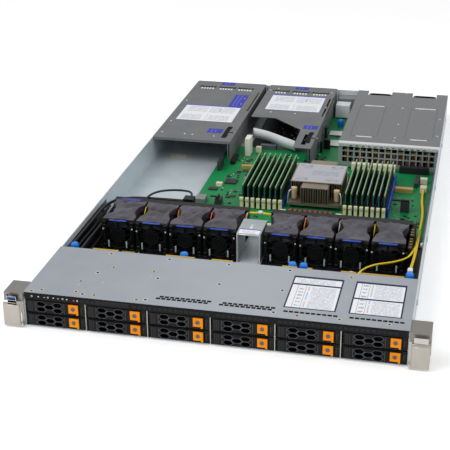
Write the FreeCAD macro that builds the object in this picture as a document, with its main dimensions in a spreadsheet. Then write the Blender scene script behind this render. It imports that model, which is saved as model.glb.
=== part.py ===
"""A 1U rack server with its rear lid off, as separate named sub-parts.

X runs to the right seen from the front, +Y to the rear and +Z up. The origin is the
middle of the underside of the pan. All lengths are millimetres.
"""
import FreeCAD, Part
import math
import os
import Sketcher
from types import SimpleNamespace

# ---------------------------------------------------------------- driving dimensions
DRIVING_SIZES = (
    # the case
    ("case_width", 437.0, "outside width of the pan"),
    ("case_height", 43.0, "underside of the pan to the top of the lid"),
    ("case_depth", 830.0, "front plane to rear edge"),
    ("sheet", 1.2, "steel of the pan"),
    ("lid_sheet", 1.0, "steel of the lid, the riser brackets and the supply cage"),
    ("seat_gap", 0.3, "clearance between pieces that come apart"),
    ("cover_length", 124.0, "front lid, front to back"),
    ("slot_pitch", 6.1, "air slots in the front lid"),
    ("slot_length", 4.2, "air slot, across"),
    ("slot_width", 1.5, "air slot, front to back"),
    ("slot_row", 15.0, "first row of air slots from the front"),
    ("slot_row_step", 4.6, "second row behind the first"),
    ("slot_count", 10, "air slots over one bay"),
    # drive bays
    ("bay_columns", 6, "drive bays across"),
    ("row_pitch", 17.4, "from the lower row to the upper row"),
    ("divider_sheet", 1.0, "steel between two bays"),
    ("divider_length", 118.0, "front to back of a divider"),
    ("strip_front", -1.5, "face of the black strip from the front plane"),
    ("strip_depth", 10.0, "black strip, front to back"),
    ("bay_gap", 0.4, "carrier to divider, each side"),
    ("shelf_sheet", 0.8, "shelf between the two rows"),
    ("carrier_height", 15.8, "drive carrier"),
    ("bezel_front", -1.0, "face of the carrier bezel from the front plane"),
    ("bezel_depth", 11.0, "front to back of the bezel"),
    ("bezel_back", 2.8, "back wall of the bezel"),
    ("bezel_lip", 0.6, "thin top and bottom of the bezel"),
    ("rail_sheet", 0.475, "side rail of the carrier, which leaves 69.85 for the drive"),
    ("drive_length", 100.45, "2.5 inch drive"),
    ("drive_height", 15.0, "2.5 inch drive"),
    ("rail_height", 11.0, "side rail of the carrier"),
    ("rail_length", 107.0, "side rail of the carrier"),
    ("lever_front", -2.0, "face of the lever from the front plane"),
    ("lever_plate", 3.0, "thickness of the lever"),
    ("lever_end", 29.8, "free end of the lever from the middle of the bay"),
    ("hinge_place", -30.6, "lever hinge from the middle of the bay"),
    ("barrel_radius", 4.4, "round grip at the hinge"),
    ("pin_radius", 1.2, "hinge pin of the lever"),
    ("pin_fit", 0.05, "radial clearance of the hinge pins"),
    ("cell_pitch", 10.0, "honeycomb, column to column"),
    ("cell_reach", 6.4, "middle of a cell to its side point"),
    ("cell_flat", 3.4, "half of a cell's level edge"),
    ("cell_half", 2.95, "half height of a cell"),
    ("cell_wall", 1.0, "bar between two cells"),
    ("cell_start", -16.0, "first honeycomb column from the middle of the bay"),
    ("button_left", 17.3, "release button from the middle of the bay"),
    ("button_width", 11.2, "release button"),
    ("button_low", 3.6, "underside of the button from the underside of the carrier"),
    ("button_height", 10.4, "release button"),
    ("button_foot_width", 2.2, "finger edge at the right of the button"),
    ("button_foot_drop", 1.7, "finger edge below the button"),
    ("button_proud", 1.2, "button in front of the lever"),
    ("button_flange", 0.8, "retaining flange behind the lever"),
    # rack ears
    ("ear_width", 22.8, "ear beside the pan, for the 482.6 of a 19 inch front"),
    ("rack_hole_inset", 8.75, "rack screw from the outer edge, for a pitch of 465.1"),
    ("rack_hole_radius", 3.5, "clear hole for the rack screw"),
    ("ear_front", -3.0, "front of the ear head from the front plane"),
    ("ear_back", 27.0, "back of the mounting flange from the front plane"),
    ("ear_sheet", 2.5, "mounting flange and side plate"),
    ("ear_head", 11.0, "height of the head block"),
    ("ear_port_width", 13.2, "port in the head block"),
    ("ear_port_height", 5.4, "port in the head block"),
    ("ear_port_depth", 16.0, "port in the head block"),
    ("flap_front", -8.0, "face of the ear flap from the front plane"),
    ("flap_plate", 2.6, "thickness of the ear flap"),
    ("flap_low", 1.8, "underside of the flap"),
    ("flap_top", 30.0, "top of the flap"),
    ("flap_axis_back", 2.8, "flap hinge behind the flap's face"),
    ("flap_axis_rise", 3.6, "flap hinge above the underside of the pan"),
    ("flap_barrel", 2.2, "corner radius of the flap's hinge barrel"),
    ("flap_pin", 1.1, "radius of the flap's hinge pin"),
    ("flap_side_gap", 0.4, "flap to side plate"),
    # backplane
    ("backplane_gap", 0.6, "backplane behind the edge of the front lid"),
    ("board_sheet", 1.6, "circuit board"),
    ("backplane_side_gap", 0.8, "backplane to the side walls"),
    ("backplane_top", 41.0, "top of the backplane"),
    ("knob_radius", 4.6, "blue knob"),
    ("knob_height", 10.0, "blue knob"),
    ("knob_top", 40.0, "top of the knobs behind the backplane"),
    ("knob_back", 16.0, "knobs behind the edge of the front lid"),
    # fans
    ("fan_start", 17.05, "first fan's field from the middle"),
    ("fan_side_room", 19.85, "cable channel between the last fan's field and the side wall"),
    ("fan_per_side", 4, "fans on each side of the middle bracket"),
    ("fan_front", 217.0, "fans from the front plane"),
    ("fan_length", 66.0, "fan housing"),
    ("fan_gap", 2.7, "between two fan housings"),
    ("fan_height", 39.4, "fan housing"),
    ("fan_flange", 7.0, "end flange of the housing"),
    ("fan_corner", 4.0, "cut corner of a flange"),
    ("fan_waist", 9.5, "cut corner of the housing between its flanges"),
    ("fan_bore", 18.4, "radius of the air way"),
    ("fan_spoke", 2.0, "width of a guard spoke"),
    ("fan_guard", 2.4, "thickness of the guard"),
    ("fan_guard_hub", 10.4, "radius of the guard's middle"),
    ("rotor_start", 4.0, "rotor behind the front of the housing"),
    ("rotor_hub", 9.3, "radius of the rotor's hub"),
    ("rotor_length", 23.0, "rotor's hub"),
    ("rotor_tip_gap", 0.9, "blade corner to air way"),
    ("blade_count", 5, "blades of a rotor"),
    ("blade_chord", 15.0, "blade along the axis"),
    ("blade_swing", 8.0, "blade across the axis"),
    ("blade_sheet", 1.5, "thickness of a blade"),
    ("shaft_radius", 2.0, "rotor shaft"),
    ("shaft_fit", 0.05, "radial clearance of the rotor shaft"),
    ("shaft_length", 12.0, "rotor shaft behind the hub"),
    ("motor_radius", 9.0, "fixed motor behind the rotor"),
    ("cradle_depth", 12.0, "fan cradle behind the fans"),
    ("cradle_height", 9.0, "top bar of the cradle"),
    ("cradle_wall", 3.0, "partition of the cradle"),
    # middle bracket
    ("bracket_width", 30.0, "bracket between the fans"),
    ("bracket_front", 209.0, "bracket from the front plane"),
    ("bracket_length", 48.0, "bracket, front to back"),
    ("bracket_top", 41.0, "top of the bracket"),
    ("bracket_foot", 3.4, "foot flange of the bracket"),
    # main board
    ("board_rise", 4.9, "underside of the main board"),
    ("board_front", 302.0, "main board from the front plane"),
    ("board_left", -114.0, "left edge of the main board"),
    ("board_side_room", 5.3, "main board to the right wall"),
    ("post_radius", 3.0, "corner radius of a stand-off under the board"),
    ("port_left", -62.0, "first low port in the rear wall"),
    ("port_pitch", 18.4, "low port to low port"),
    ("port_count", 4, "low ports in the rear wall"),
    ("port_width", 16.4, "low port"),
    ("port_height", 7.6, "low port above the board"),
    ("port_depth", 22.0, "low port, front to back"),
    ("tower_left", 34.0, "port tower in the rear wall"),
    ("tower_width", 30.0, "port tower"),
    ("tower_height", 27.0, "port tower above the board"),
    ("mezzanine_left", -80.0, "mezzanine card"),
    ("mezzanine_right", 26.0, "mezzanine card"),
    ("mezzanine_front", 614.0, "mezzanine card from the front plane"),
    ("edge_connector", 7.0, "height of the connectors before the mezzanine card"),
    # memory
    ("module_length", 133.35, "memory module"),
    ("module_height", 31.25, "memory module"),
    ("module_sheet", 1.3, "memory module"),
    ("module_front", 375.2, "memory modules from the front plane"),
    ("module_foot", 1.3, "module's lower edge above the board"),
    ("bank_count", 8, "modules in a bank"),
    ("bank_left", -42.7, "first module of the left bank"),
    ("bank_left_pitch", 7.8, "modules of the left bank"),
    ("bank_right", 101.9, "first module of the right bank"),
    ("bank_right_pitch", 7.63, "modules of the right bank"),
    ("socket_width", 6.4, "memory socket"),
    ("socket_height", 8.0, "memory socket"),
    ("socket_end", 1.4, "socket beyond the module's end"),
    ("latch_gap", 0.8, "latch to socket"),
    ("latch_depth", 6.4, "latch, front to back"),
    ("latch_width", 4.6, "latch, across"),
    ("latch_low", 1.2, "latch above the board"),
    ("latch_height", 14.6, "latch"),
    # heatsink
    ("sink_middle", 57.5, "middle of the heatsink"),
    ("sink_front", 382.0, "heatsink from the front plane"),
    ("sink_length", 108.4, "heatsink"),
    ("sink_width", 72.0, "heatsink"),
    ("sink_core", 38.0, "narrow ends of the heatsink"),
    ("sink_end", 21.0, "length of each narrow end"),
    ("sink_top", 41.0, "top of the heatsink"),
    ("sink_end_top", 39.0, "top of the narrow ends"),
    ("sink_base", 4.0, "base plate of the heatsink"),
    ("sink_base_rise", 12.0, "underside of the base plate"),
    ("fin_pitch", 3.6, "heatsink fins"),
    ("fin_sheet", 0.8, "heatsink fins"),
    ("sink_skin", 1.0, "top plate of the heatsink"),
    ("nut_radius", 3.4, "heatsink nuts"),
    ("nut_height", 15.0, "heatsink nuts"),
    # riser brackets
    ("riser_left_end", -95.0, "right edge of the left bracket"),
    ("riser_left_front", 532.0, "left bracket from the front plane"),
    ("riser_mid_start", -87.0, "left edge of the middle bracket"),
    ("riser_mid_end", 30.0, "right edge of the middle bracket"),
    ("riser_mid_front", 527.0, "middle bracket from the front plane"),
    ("riser_mid_step", 656.0, "left arm of the middle bracket from the front plane"),
    ("riser_wall_low", 9.0, "lower edge of a bracket's side wall"),
    ("riser_lip", 4.0, "folded front edge of a bracket"),
    ("card_inset", 4.4, "riser card inside the side wall"),
    ("card_length", 172.0, "riser card"),
    ("card_socket", 8.0, "riser card's socket"),
    ("rear_sill", 16.0, "rear wall below the expansion slots"),
    # power supplies
    ("cage_left", 67.0, "left wall of the supply cage"),
    ("cage_front", 566.0, "supply cage from the front plane"),
    ("cage_cell", 7.4, "opening of the cage grille"),
    ("cage_cell_pitch", 9.4, "grille of the cage"),
    ("cage_rows", 3, "rows of grille openings"),
    ("cage_columns", 15, "grille openings across"),
    ("cage_row_first", 11.6, "lowest grille opening above the underside"),
    ("cage_partition", 0.6, "sheet between the two supplies"),
    ("cage_lip", 5.0, "folded front edge of the cage"),
    ("supply_gap", 0.425, "each side of a supply"),
    ("supply_height", 40.0, "power supply"),
    ("power_board_room", 57.0, "grille to the front of the supplies"),
    ("supply_inset", 22.0, "rear face of the supplies before the rear edge"),
    ("handle_reach", 21.0, "supply handle behind the rear face"),
    ("handle_width", 38.0, "supply handle"),
    ("handle_bar", 3.6, "thickness of the handle"),
    # slide rail studs
    ("stud_radius", 3.3, "head of a slide rail stud"),
    ("stud_reach", 2.2, "stud out of the side wall"),
    ("stud_rise", 21.5, "studs above the underside"),
    ("stud_first", 107.0, "first stud from the front plane"),
    ("stud_pitch", 177.6, "stud to stud"),
    ("stud_count", 4, "studs on each side"),
)


class Size:
    """A length with its formula, so that a shape's property can be bound to it."""

    def __init__(self, formula, value):
        self.formula = formula
        self.value = value

    @staticmethod
    def of(number):
        if isinstance(number, Size):
            return number
        return Size(f"{number:.6g}", float(number))

    def __add__(self, other):
        other = Size.of(other)
        return Size(f"({self.formula} + {other.formula})", self.value + other.value)

    def __sub__(self, other):
        other = Size.of(other)
        return Size(f"({self.formula} - {other.formula})", self.value - other.value)

    def __mul__(self, other):
        other = Size.of(other)
        return Size(f"({self.formula} * {other.formula})", self.value * other.value)

    def __truediv__(self, other):
        other = Size.of(other)
        return Size(f"({self.formula} / {other.formula})", self.value / other.value)

    def __radd__(self, other):
        return Size.of(other) + self

    def __rsub__(self, other):
        return Size.of(other) - self

    __rmul__ = __mul__

    def __neg__(self):
        return Size(f"(-1 * {self.formula})", -self.value)


doc = FreeCAD.newDocument("RackServer")
sheet = doc.addObject("Spreadsheet::Sheet", "Sizes")
for row, (alias, amount, meaning) in enumerate(DRIVING_SIZES, start=1):
    sheet.set(f"A{row}", alias)
    sheet.set(f"B{row}", str(amount))
    sheet.set(f"C{row}", meaning)
    sheet.setAlias(f"B{row}", alias)
doc.recompute()

S = SimpleNamespace(**{alias: Size(f"Sizes.{alias}", amount) for alias, amount, _ in DRIVING_SIZES})

FRONT = -S.case_depth / 2
REAR = S.case_depth / 2
HALF = S.case_width / 2
INSIDE = HALF - S.sheet
LID_LOW = S.case_height - S.lid_sheet
WALL_TOP = LID_LOW - S.seat_gap
BOARD_TOP = S.board_rise + S.board_sheet
BAY_PITCH = (2 * INSIDE + S.divider_sheet) / S.bay_columns
CARRIER_LOW = S.sheet + S.seat_gap
STRIP_LOW = CARRIER_LOW + S.row_pitch + S.carrier_height + S.bay_gap
CARRIER_WIDTH = BAY_PITCH - S.divider_sheet - 2 * S.bay_gap
DRIVE_WIDTH = CARRIER_WIDTH - 2 * S.rail_sheet
FAN_PITCH = (INSIDE - S.fan_start - S.fan_side_room) / S.fan_per_side
FAN_WIDTH = FAN_PITCH - S.fan_gap
BOARD_RIGHT = INSIDE - S.board_side_room
RISER_LEFT_START = S.seat_gap - INSIDE
SUPPLY_REAR = REAR - S.supply_inset
SUPPLY_FRONT = FRONT + S.cage_front + S.power_board_room


# ---------------------------------------------------------------- building blocks
def bind(target, prop, size):
    """Bind one property to a formula of the sheet."""
    target.setExpression(prop, Size.of(size).formula)


def place(target, corner):
    """Bind an object's place to three sizes."""
    for letter, size in zip("xyz", corner):
        bind(target, f".Placement.Base.{letter}", size)


def box(name, low, high):
    """A block between two opposite corners."""
    block = doc.addObject("Part::Box", name)
    place(block, low)
    for prop, first, last in zip(("Length", "Width", "Height"), low, high):
        bind(block, prop, Size.of(last) - first)
    return block


TURN_TO = {
    "x": FreeCAD.Rotation(FreeCAD.Vector(0, 1, 0), 90),
    "y": FreeCAD.Rotation(FreeCAD.Vector(1, 0, 0), -90),
    "z": FreeCAD.Rotation(),
}


def rod(name, axis, start, radius, length):
    """A cylinder that runs along an axis from the middle of its first end."""
    cylinder = doc.addObject("Part::Cylinder", name)
    cylinder.Placement = FreeCAD.Placement(FreeCAD.Vector(), TURN_TO[axis])
    place(cylinder, start)
    bind(cylinder, "Radius", radius)
    bind(cylinder, "Height", length)
    return cylinder


def origin_feature(body, role):
    """An origin plane or axis of a body."""
    return next(item for item in body.Origin.OriginFeatures if item.Role == role)


def new_sketch(body, name, plane, level):
    """A sketch parallel to one of the body's own origin planes."""
    sketch = body.newObject("Sketcher::SketchObject", name)
    sketch.AttachmentSupport = [(origin_feature(body, f"{plane}_Plane"), "")]
    sketch.MapMode = "FlatFace"
    bind(sketch, "AttachmentOffset.Base.z", level)
    return sketch


def draw_outline(sketch, outline):
    """A closed outline whose corners are bound to sizes."""
    corners = [(Size.of(across), Size.of(up)) for across, up in outline]
    points = [FreeCAD.Vector(across.value, up.value, 0) for across, up in corners]
    first = sketch.GeometryCount
    count = len(points)
    edges = [Part.LineSegment(points[i], points[(i + 1) % count]) for i in range(count)]
    sketch.addGeometry(edges, False)
    for i in range(count):
        joint = Sketcher.Constraint("Coincident", first + i, 2, first + (i + 1) % count, 1)
        sketch.addConstraint(joint)
    for i, corner in enumerate(corners):
        for kind, size in zip(("DistanceX", "DistanceY"), corner):
            index = sketch.addConstraint(Sketcher.Constraint(kind, first + i, 1, size.value))
            bind(sketch, f"Constraints[{index}]", size)


def draw_circle(sketch, across, up, radius):
    """A circle whose middle and radius are bound to sizes."""
    across, up, radius = Size.of(across), Size.of(up), Size.of(radius)
    middle = FreeCAD.Vector(across.value, up.value, 0)
    circle = sketch.addGeometry(Part.Circle(middle, FreeCAD.Vector(0, 0, 1), radius.value), False)
    for constraint, size in (
        (Sketcher.Constraint("DistanceX", circle, 3, across.value), across),
        (Sketcher.Constraint("DistanceY", circle, 3, up.value), up),
        (Sketcher.Constraint("Radius", circle, radius.value), radius),
    ):
        index = sketch.addConstraint(constraint)
        bind(sketch, f"Constraints[{index}]", size)


def pad_outline(body, name, plane, outline, low, high):
    """Pad an outline between two levels; an XZ sketch looks along -Y, so it starts at the far one."""
    level = -high if plane == "XZ" else low
    sketch = new_sketch(body, f"{name}_sketch", plane, level)
    draw_outline(sketch, outline)
    pad = body.newObject("PartDesign::Pad", name)
    pad.Profile = sketch
    bind(pad, "Length", Size.of(high) - low)
    return pad


def pad_circle(body, name, plane, middle, radius, low, high):
    """Pad a circle between two levels."""
    level = -high if plane == "XZ" else low
    sketch = new_sketch(body, f"{name}_sketch", plane, level)
    draw_circle(sketch, *middle, radius)
    pad = body.newObject("PartDesign::Pad", name)
    pad.Profile = sketch
    bind(pad, "Length", Size.of(high) - low)
    return pad


def pocket_outlines(body, name, plane, outlines):
    """Cut outlines right through the body."""
    sketch = new_sketch(body, f"{name}_sketch", plane, 0)
    for outline in outlines:
        draw_outline(sketch, outline)
    pocket = body.newObject("PartDesign::Pocket", name)
    pocket.Profile = sketch
    pocket.Type = "ThroughAll"
    pocket.Midplane = True
    return pocket


def extrusion(name, plane, outline, low, high):
    """A body made of one padded outline."""
    body = doc.addObject("PartDesign::Body", name)
    pad_outline(body, f"{name}_pad", plane, outline, low, high)
    return body


def rectangle(left, low, right, high):
    return [(left, low), (right, low), (right, high), (left, high)]


def cut_corners(half_width, low, high, corner):
    """A rectangle about the middle with its four corners cut."""
    return [
        (-half_width + corner, low), (half_width - corner, low),
        (half_width, low + corner), (half_width, high - corner),
        (half_width - corner, high), (-half_width + corner, high),
        (-half_width, high - corner), (-half_width, low + corner),
    ]


def polygon(radius, sides):
    """A regular outline about the origin, with its corners on a circle."""
    turns = [2 * math.pi * (corner + 0.5) / sides for corner in range(sides)]
    return [(radius * math.cos(turn), radius * math.sin(turn)) for turn in turns]


def fuse(name, pieces):
    union = doc.addObject("Part::MultiFuse", name)
    union.Shapes = pieces
    union.Refine = True
    return union


def group(name, pieces):
    """Several separate solids under one name."""
    together = doc.addObject("Part::Compound", name)
    together.Links = pieces
    return together


def cut(name, base, tools):
    difference = doc.addObject("Part::Cut", name)
    difference.Base = base
    difference.Tool = tools[0] if len(tools) == 1 else group(f"{name}_tools", tools)
    difference.Refine = True
    return difference


def copy_at(name, master, corner):
    """Another one of a finished piece, at its own place."""
    copy = group(name, [master])
    place(copy, corner)
    return copy


def from_front(distance):
    """A place along the case, given from its front plane."""
    return FRONT + distance


SUB_PARTS = []


def sub_part(name, shape):
    """Name a finished sub-part and list it for writing."""
    shape.Label = name
    SUB_PARTS.append(shape)
    return shape


# ---------------------------------------------------------------- the pan and its fixed sheet metal
def pan():
    """A floor with two side walls on it, and a rear wall that is open where things slide or lift out."""
    floor = box("pan_floor", (-HALF, FRONT, 0), (HALF, REAR, S.sheet))
    left_wall = box("pan_wall_left", (-HALF, FRONT, S.sheet), (-INSIDE, REAR, WALL_TOP))
    right_wall = box("pan_wall_right", (INSIDE, FRONT, S.sheet), (HALF, REAR, WALL_TOP))
    behind = REAR - 2 * S.sheet
    beyond = REAR + S.sheet
    above = WALL_TOP + S.sheet
    tower_side = S.riser_mid_end + S.seat_gap
    wall = box("pan_rear_wall", (-INSIDE, REAR - S.sheet, S.sheet), (tower_side, REAR, WALL_TOP))
    left_slot = box(
        "slot_opening_left",
        (RISER_LEFT_START - S.seat_gap, behind, S.rear_sill),
        (S.riser_left_end + S.seat_gap, beyond, above),
    )
    middle_slot = box(
        "slot_opening_middle",
        (S.riser_mid_start - S.seat_gap, behind, S.rear_sill),
        (tower_side + S.sheet, beyond, above),
    )
    port_window = box(
        "port_opening",
        (S.port_left, behind, BOARD_TOP),
        (S.port_left + S.port_count * S.port_pitch, beyond, BOARD_TOP + S.port_height),
    )
    tower_frame = box("pan_tower_frame", (tower_side, REAR - S.sheet, S.sheet), (S.cage_left, REAR, WALL_TOP))
    tower_window = box(
        "tower_opening",
        (S.tower_left, behind, BOARD_TOP),
        (S.tower_left + S.tower_width, beyond, BOARD_TOP + S.tower_height),
    )
    return [
        floor, left_wall, right_wall,
        cut("pan_back", wall, [left_slot, middle_slot, port_window]),
        cut("pan_tower_back", tower_frame, [tower_window]),
    ]


CAGE_INNER = S.cage_left + S.lid_sheet
CAGE_MIDDLE = (CAGE_INNER + INSIDE) / 2
SUPPLY_WIDTH = (INSIDE - CAGE_INNER - S.cage_partition) / 2 - 2 * S.supply_gap
SUPPLY_MIDDLES = (
    CAGE_INNER + S.supply_gap + SUPPLY_WIDTH / 2,
    INSIDE - S.supply_gap - SUPPLY_WIDTH / 2,
)


def supply_cage():
    """The cage round the two power supplies, with a grille towards the fans."""
    front = from_front(S.cage_front)
    back_of_grille = front + S.lid_sheet
    left = box("cage_wall", (S.cage_left, front, S.sheet), (CAGE_INNER, REAR, LID_LOW))
    roof = box("cage_roof", (S.cage_left, front, LID_LOW), (HALF, REAR, S.case_height))
    notches = [
        box(
            f"handle_notch_{number}",
            (middle - S.handle_width / 2 - S.lid_sheet, SUPPLY_REAR, LID_LOW - S.sheet),
            (middle + S.handle_width / 2 + S.lid_sheet, REAR + S.sheet, S.case_height + S.sheet),
        )
        for number, middle in enumerate(SUPPLY_MIDDLES, start=1)
    ]
    partition = box(
        "cage_partition_sheet",
        (CAGE_MIDDLE - S.cage_partition / 2, SUPPLY_FRONT, S.sheet),
        (CAGE_MIDDLE + S.cage_partition / 2, REAR, LID_LOW),
    )
    plate = box("cage_front_plate", (CAGE_INNER, front, S.sheet), (INSIDE, back_of_grille, LID_LOW))
    first = CAGE_MIDDLE - (S.cage_columns - 1) / 2 * S.cage_cell_pitch - S.cage_cell / 2
    cells = [
        box(
            f"cage_cell_{row}_{column}",
            (first + column * S.cage_cell_pitch, front - S.sheet,
             S.cage_row_first + row * S.cage_cell_pitch),
            (first + column * S.cage_cell_pitch + S.cage_cell, back_of_grille + S.sheet,
             S.cage_row_first + row * S.cage_cell_pitch + S.cage_cell),
        )
        for row in range(int(S.cage_rows.value))
        for column in range(int(S.cage_columns.value))
    ]
    lip = box(
        "cage_lip_fold",
        (S.cage_left, front - S.lid_sheet, LID_LOW - S.cage_lip),
        (INSIDE, front, S.case_height),
    )
    grille = cut("cage_grille", plate, cells)
    return fuse("supply_cage", [left, cut("cage_top", roof, notches), partition, grille, lip])


def middle_bracket():
    """The open-ended sheet-metal bridge between the two groups of fans."""
    half = S.bracket_width / 2
    low = S.sheet
    inner = half - S.lid_sheet
    toe = half - S.bracket_foot
    foot_top = low + S.lid_sheet
    outline = [
        (-half, low), (-half, S.bracket_top), (half, S.bracket_top), (half, low),
        (toe, low), (toe, foot_top), (inner, foot_top), (inner, S.bracket_top - S.lid_sheet),
        (-inner, S.bracket_top - S.lid_sheet), (-inner, foot_top), (-toe, foot_top), (-toe, low),
    ]
    front = from_front(S.bracket_front)
    return extrusion("middle_bracket", "XZ", outline, front, front + S.bracket_length)


def rail_studs():
    """The studs on both side walls that hang in the slide rails."""
    studs = []
    for number in range(int(S.stud_count.value)):
        back = from_front(S.stud_first + number * S.stud_pitch)
        for side, start in (("right", HALF), ("left", -HALF - S.stud_reach)):
            studs.append(rod(f"stud_{side}_{number + 1}", "x", (start, back, S.stud_rise),
                             S.stud_radius, S.stud_reach))
    return studs


def chassis():
    sub_part("chassis", group("chassis_set", [*pan(), supply_cage(), middle_bracket(), *rail_studs()]))


# ---------------------------------------------------------------- front lid
def front_cover():
    """The screwed front lid, with rows of air slots over four bays."""
    body = doc.addObject("PartDesign::Body", "front_cover")
    outline = rectangle(-HALF, FRONT, HALF, from_front(S.cover_length))
    pad_outline(body, "cover_sheet", "XY", outline, LID_LOW, S.case_height)
    rows = [(2, 0), (2, 1), (3, 0), (3, 1), (4, 0), (5, 0)]
    for bay, row in rows:
        run = (S.slot_count - 1) * S.slot_pitch
        left = bay_middle(bay) - run / 2 - S.slot_length / 2 + row * S.slot_pitch / 2
        front = from_front(S.slot_row + row * S.slot_row_step)
        slot = rectangle(left, front, left + S.slot_length, front + S.slot_width)
        pocket = pocket_outlines(body, f"slot_{bay}_{row}", "XY", [slot])
        pattern = body.newObject("PartDesign::LinearPattern", f"slots_{bay}_{row}")
        pattern.Originals = [pocket]
        pattern.Direction = (origin_feature(body, "X_Axis"), [""])
        bind(pattern, "Length", run)
        bind(pattern, "Occurrences", S.slot_count)
        body.Tip = pattern
    sub_part("front_cover", body)


# ---------------------------------------------------------------- front frame: dividers, shelves, strip, ears
def bay_middle(column):
    """The middle of a drive bay, counted from the left."""
    return (column + 0.5 - S.bay_columns / 2) * BAY_PITCH


def bay_edges(column):
    """The faces of the sheets that stand left and right of a bay."""
    middle = bay_middle(column)
    half = (BAY_PITCH - S.divider_sheet) / 2
    return middle - half, middle + half


def dividers():
    """The upright sheets between the bays; each reaches under the lid behind the strip."""
    behind_strip = from_front(S.strip_front + S.strip_depth)
    outline = [
        (FRONT, S.sheet), (from_front(S.divider_length), S.sheet),
        (from_front(S.divider_length), LID_LOW), (behind_strip, LID_LOW),
        (behind_strip, STRIP_LOW), (FRONT, STRIP_LOW),
    ]
    sheets = []
    for column in range(1, int(S.bay_columns.value)):
        left = bay_edges(column)[0] - S.divider_sheet
        sheets.append(extrusion(f"divider_{column}", "YZ", outline, left, left + S.divider_sheet))
    return sheets


def shelves():
    """The thin shelves that part the two rows of carriers."""
    low = CARRIER_LOW + (S.row_pitch + S.carrier_height - S.shelf_sheet) / 2
    sheets = []
    for column in range(int(S.bay_columns.value)):
        left, right = bay_edges(column)
        sheets.append(box(f"shelf_{column + 1}", (left, from_front(S.divider_sheet), low),
                          (right, from_front(S.divider_length), low + S.shelf_sheet)))
    return sheets


def front_strip():
    """The black channel over the bays that carries the lamps."""
    front = from_front(S.strip_front)
    back = from_front(S.strip_front + S.strip_depth)
    wall = S.divider_sheet
    outline = [
        (front, STRIP_LOW), (back, STRIP_LOW), (back, STRIP_LOW + wall),
        (front + wall, STRIP_LOW + wall), (front + wall, LID_LOW - wall),
        (back, LID_LOW - wall), (back, LID_LOW), (front, LID_LOW),
    ]
    return extrusion("front_strip", "YZ", outline, -INSIDE, INSIDE)


EAR_OUT = HALF + S.ear_width
EAR_SIDE = HALF + S.ear_sheet
FLAP_AXIS = (from_front(S.flap_front + S.flap_axis_back), S.flap_axis_rise)
FLAP_LEFT = EAR_SIDE + S.flap_side_gap


def ear_shell(name):
    """The right-hand ear: side plate, mounting flange, head block and hinge pin in one casting."""
    front = from_front(S.ear_front)
    back = from_front(S.ear_back)
    axis_back, axis_up = FLAP_AXIS
    lug_front = axis_back - S.flap_barrel
    lug_top = axis_up + S.flap_barrel
    side_outline = [
        (lug_front, S.sheet), (back, S.sheet), (back, LID_LOW),
        (front, LID_LOW), (front, lug_top), (lug_front, lug_top),
    ]
    side = extrusion(f"{name}_side", "YZ", side_outline, HALF, EAR_SIDE)
    flange = box(f"{name}_flange", (HALF, back - S.ear_sheet, S.sheet), (EAR_OUT, back, LID_LOW))
    head = box(f"{name}_head", (HALF, front, LID_LOW - S.ear_head), (EAR_OUT, back, LID_LOW))
    pin = rod(f"{name}_pin", "x", (HALF, axis_back, axis_up), S.flap_pin, EAR_OUT - HALF - S.ear_sheet)
    hole = rod(f"{name}_hole", "y", (EAR_OUT - S.rack_hole_inset, back - 2 * S.ear_sheet, S.stud_rise),
               S.rack_hole_radius, 4 * S.ear_sheet)
    return cut(name, fuse(f"{name}_solid", [side, flange, head, pin]), [hole])


def mirrored(name, piece):
    """The left-hand twin of a right-hand piece."""
    twin = doc.addObject("Part::Mirroring", name)
    twin.Source = piece
    twin.Normal = FreeCAD.Vector(1, 0, 0)
    return twin


def ears():
    """Both rack ears; the left one holds a port with its tongue."""
    right = ear_shell("ear_right")
    plain = mirrored("ear_left_plain", ear_shell("ear_left_form"))
    front = from_front(S.ear_front)
    middle = -(EAR_SIDE + EAR_OUT) / 2
    low = LID_LOW - (S.ear_head + S.ear_port_height) / 2
    half = S.ear_port_width / 2
    port = box("ear_port", (middle - half, front - S.sheet, low),
               (middle + half, front + S.ear_port_depth, low + S.ear_port_height))
    left = cut("ear_left", plain, [port])
    tongue = box("port_tongue", (middle - half + S.sheet, front + S.sheet, low + S.ear_port_height / 2),
                 (middle + half - S.sheet, front + S.ear_port_depth, low + S.ear_port_height - S.lid_sheet))
    return [right, left, tongue]


def front_frame():
    sub_part("front_frame", group("frame_set", [*dividers(), *shelves(), front_strip(), *ears()]))


def ear_flap():
    """The right-hand flap that folds down over its hinge and frees the rack screw."""
    front = from_front(S.flap_front)
    back = front + S.flap_plate
    lean = S.flap_plate / 3
    shoulder = S.flap_top - S.flap_barrel
    outline = [
        (front, S.flap_low), (back, S.flap_low), (back, shoulder),
        (back + lean, S.flap_top), (front + lean, S.flap_top), (front, shoulder),
    ]
    body = doc.addObject("PartDesign::Body", "ear_flap_form")
    pad_outline(body, "flap_plate_pad", "YZ", outline, FLAP_LEFT, EAR_OUT)
    barrel = [(FLAP_AXIS[0] + back, FLAP_AXIS[1] + up) for back, up in polygon(S.flap_barrel, 8)]
    pad_outline(body, "flap_barrel_pad", "YZ", barrel, FLAP_LEFT, EAR_OUT)
    bore = new_sketch(body, "flap_bore_sketch", "YZ", 0)
    draw_circle(bore, *FLAP_AXIS, S.flap_pin + S.pin_fit)
    pocket = body.newObject("PartDesign::Pocket", "flap_bore")
    pocket.Profile = bore
    pocket.Type = "ThroughAll"
    pocket.Midplane = True
    return body


def ear_flaps():
    flap = ear_flap()
    sub_part("ear_flap_right", copy_at("flap_right", flap, (0, 0, 0)))
    sub_part("ear_flap_left", mirrored("flap_left", flap))


# ---------------------------------------------------------------- drive carriers, in the frame of their bay
BEZEL_BACK = S.bezel_front + S.bezel_depth
HINGE_BACK = S.lever_front + S.barrel_radius
LEVER_LOW = S.bezel_lip + S.seat_gap
LEVER_HIGH = S.carrier_height - S.bezel_lip - S.seat_gap


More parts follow.
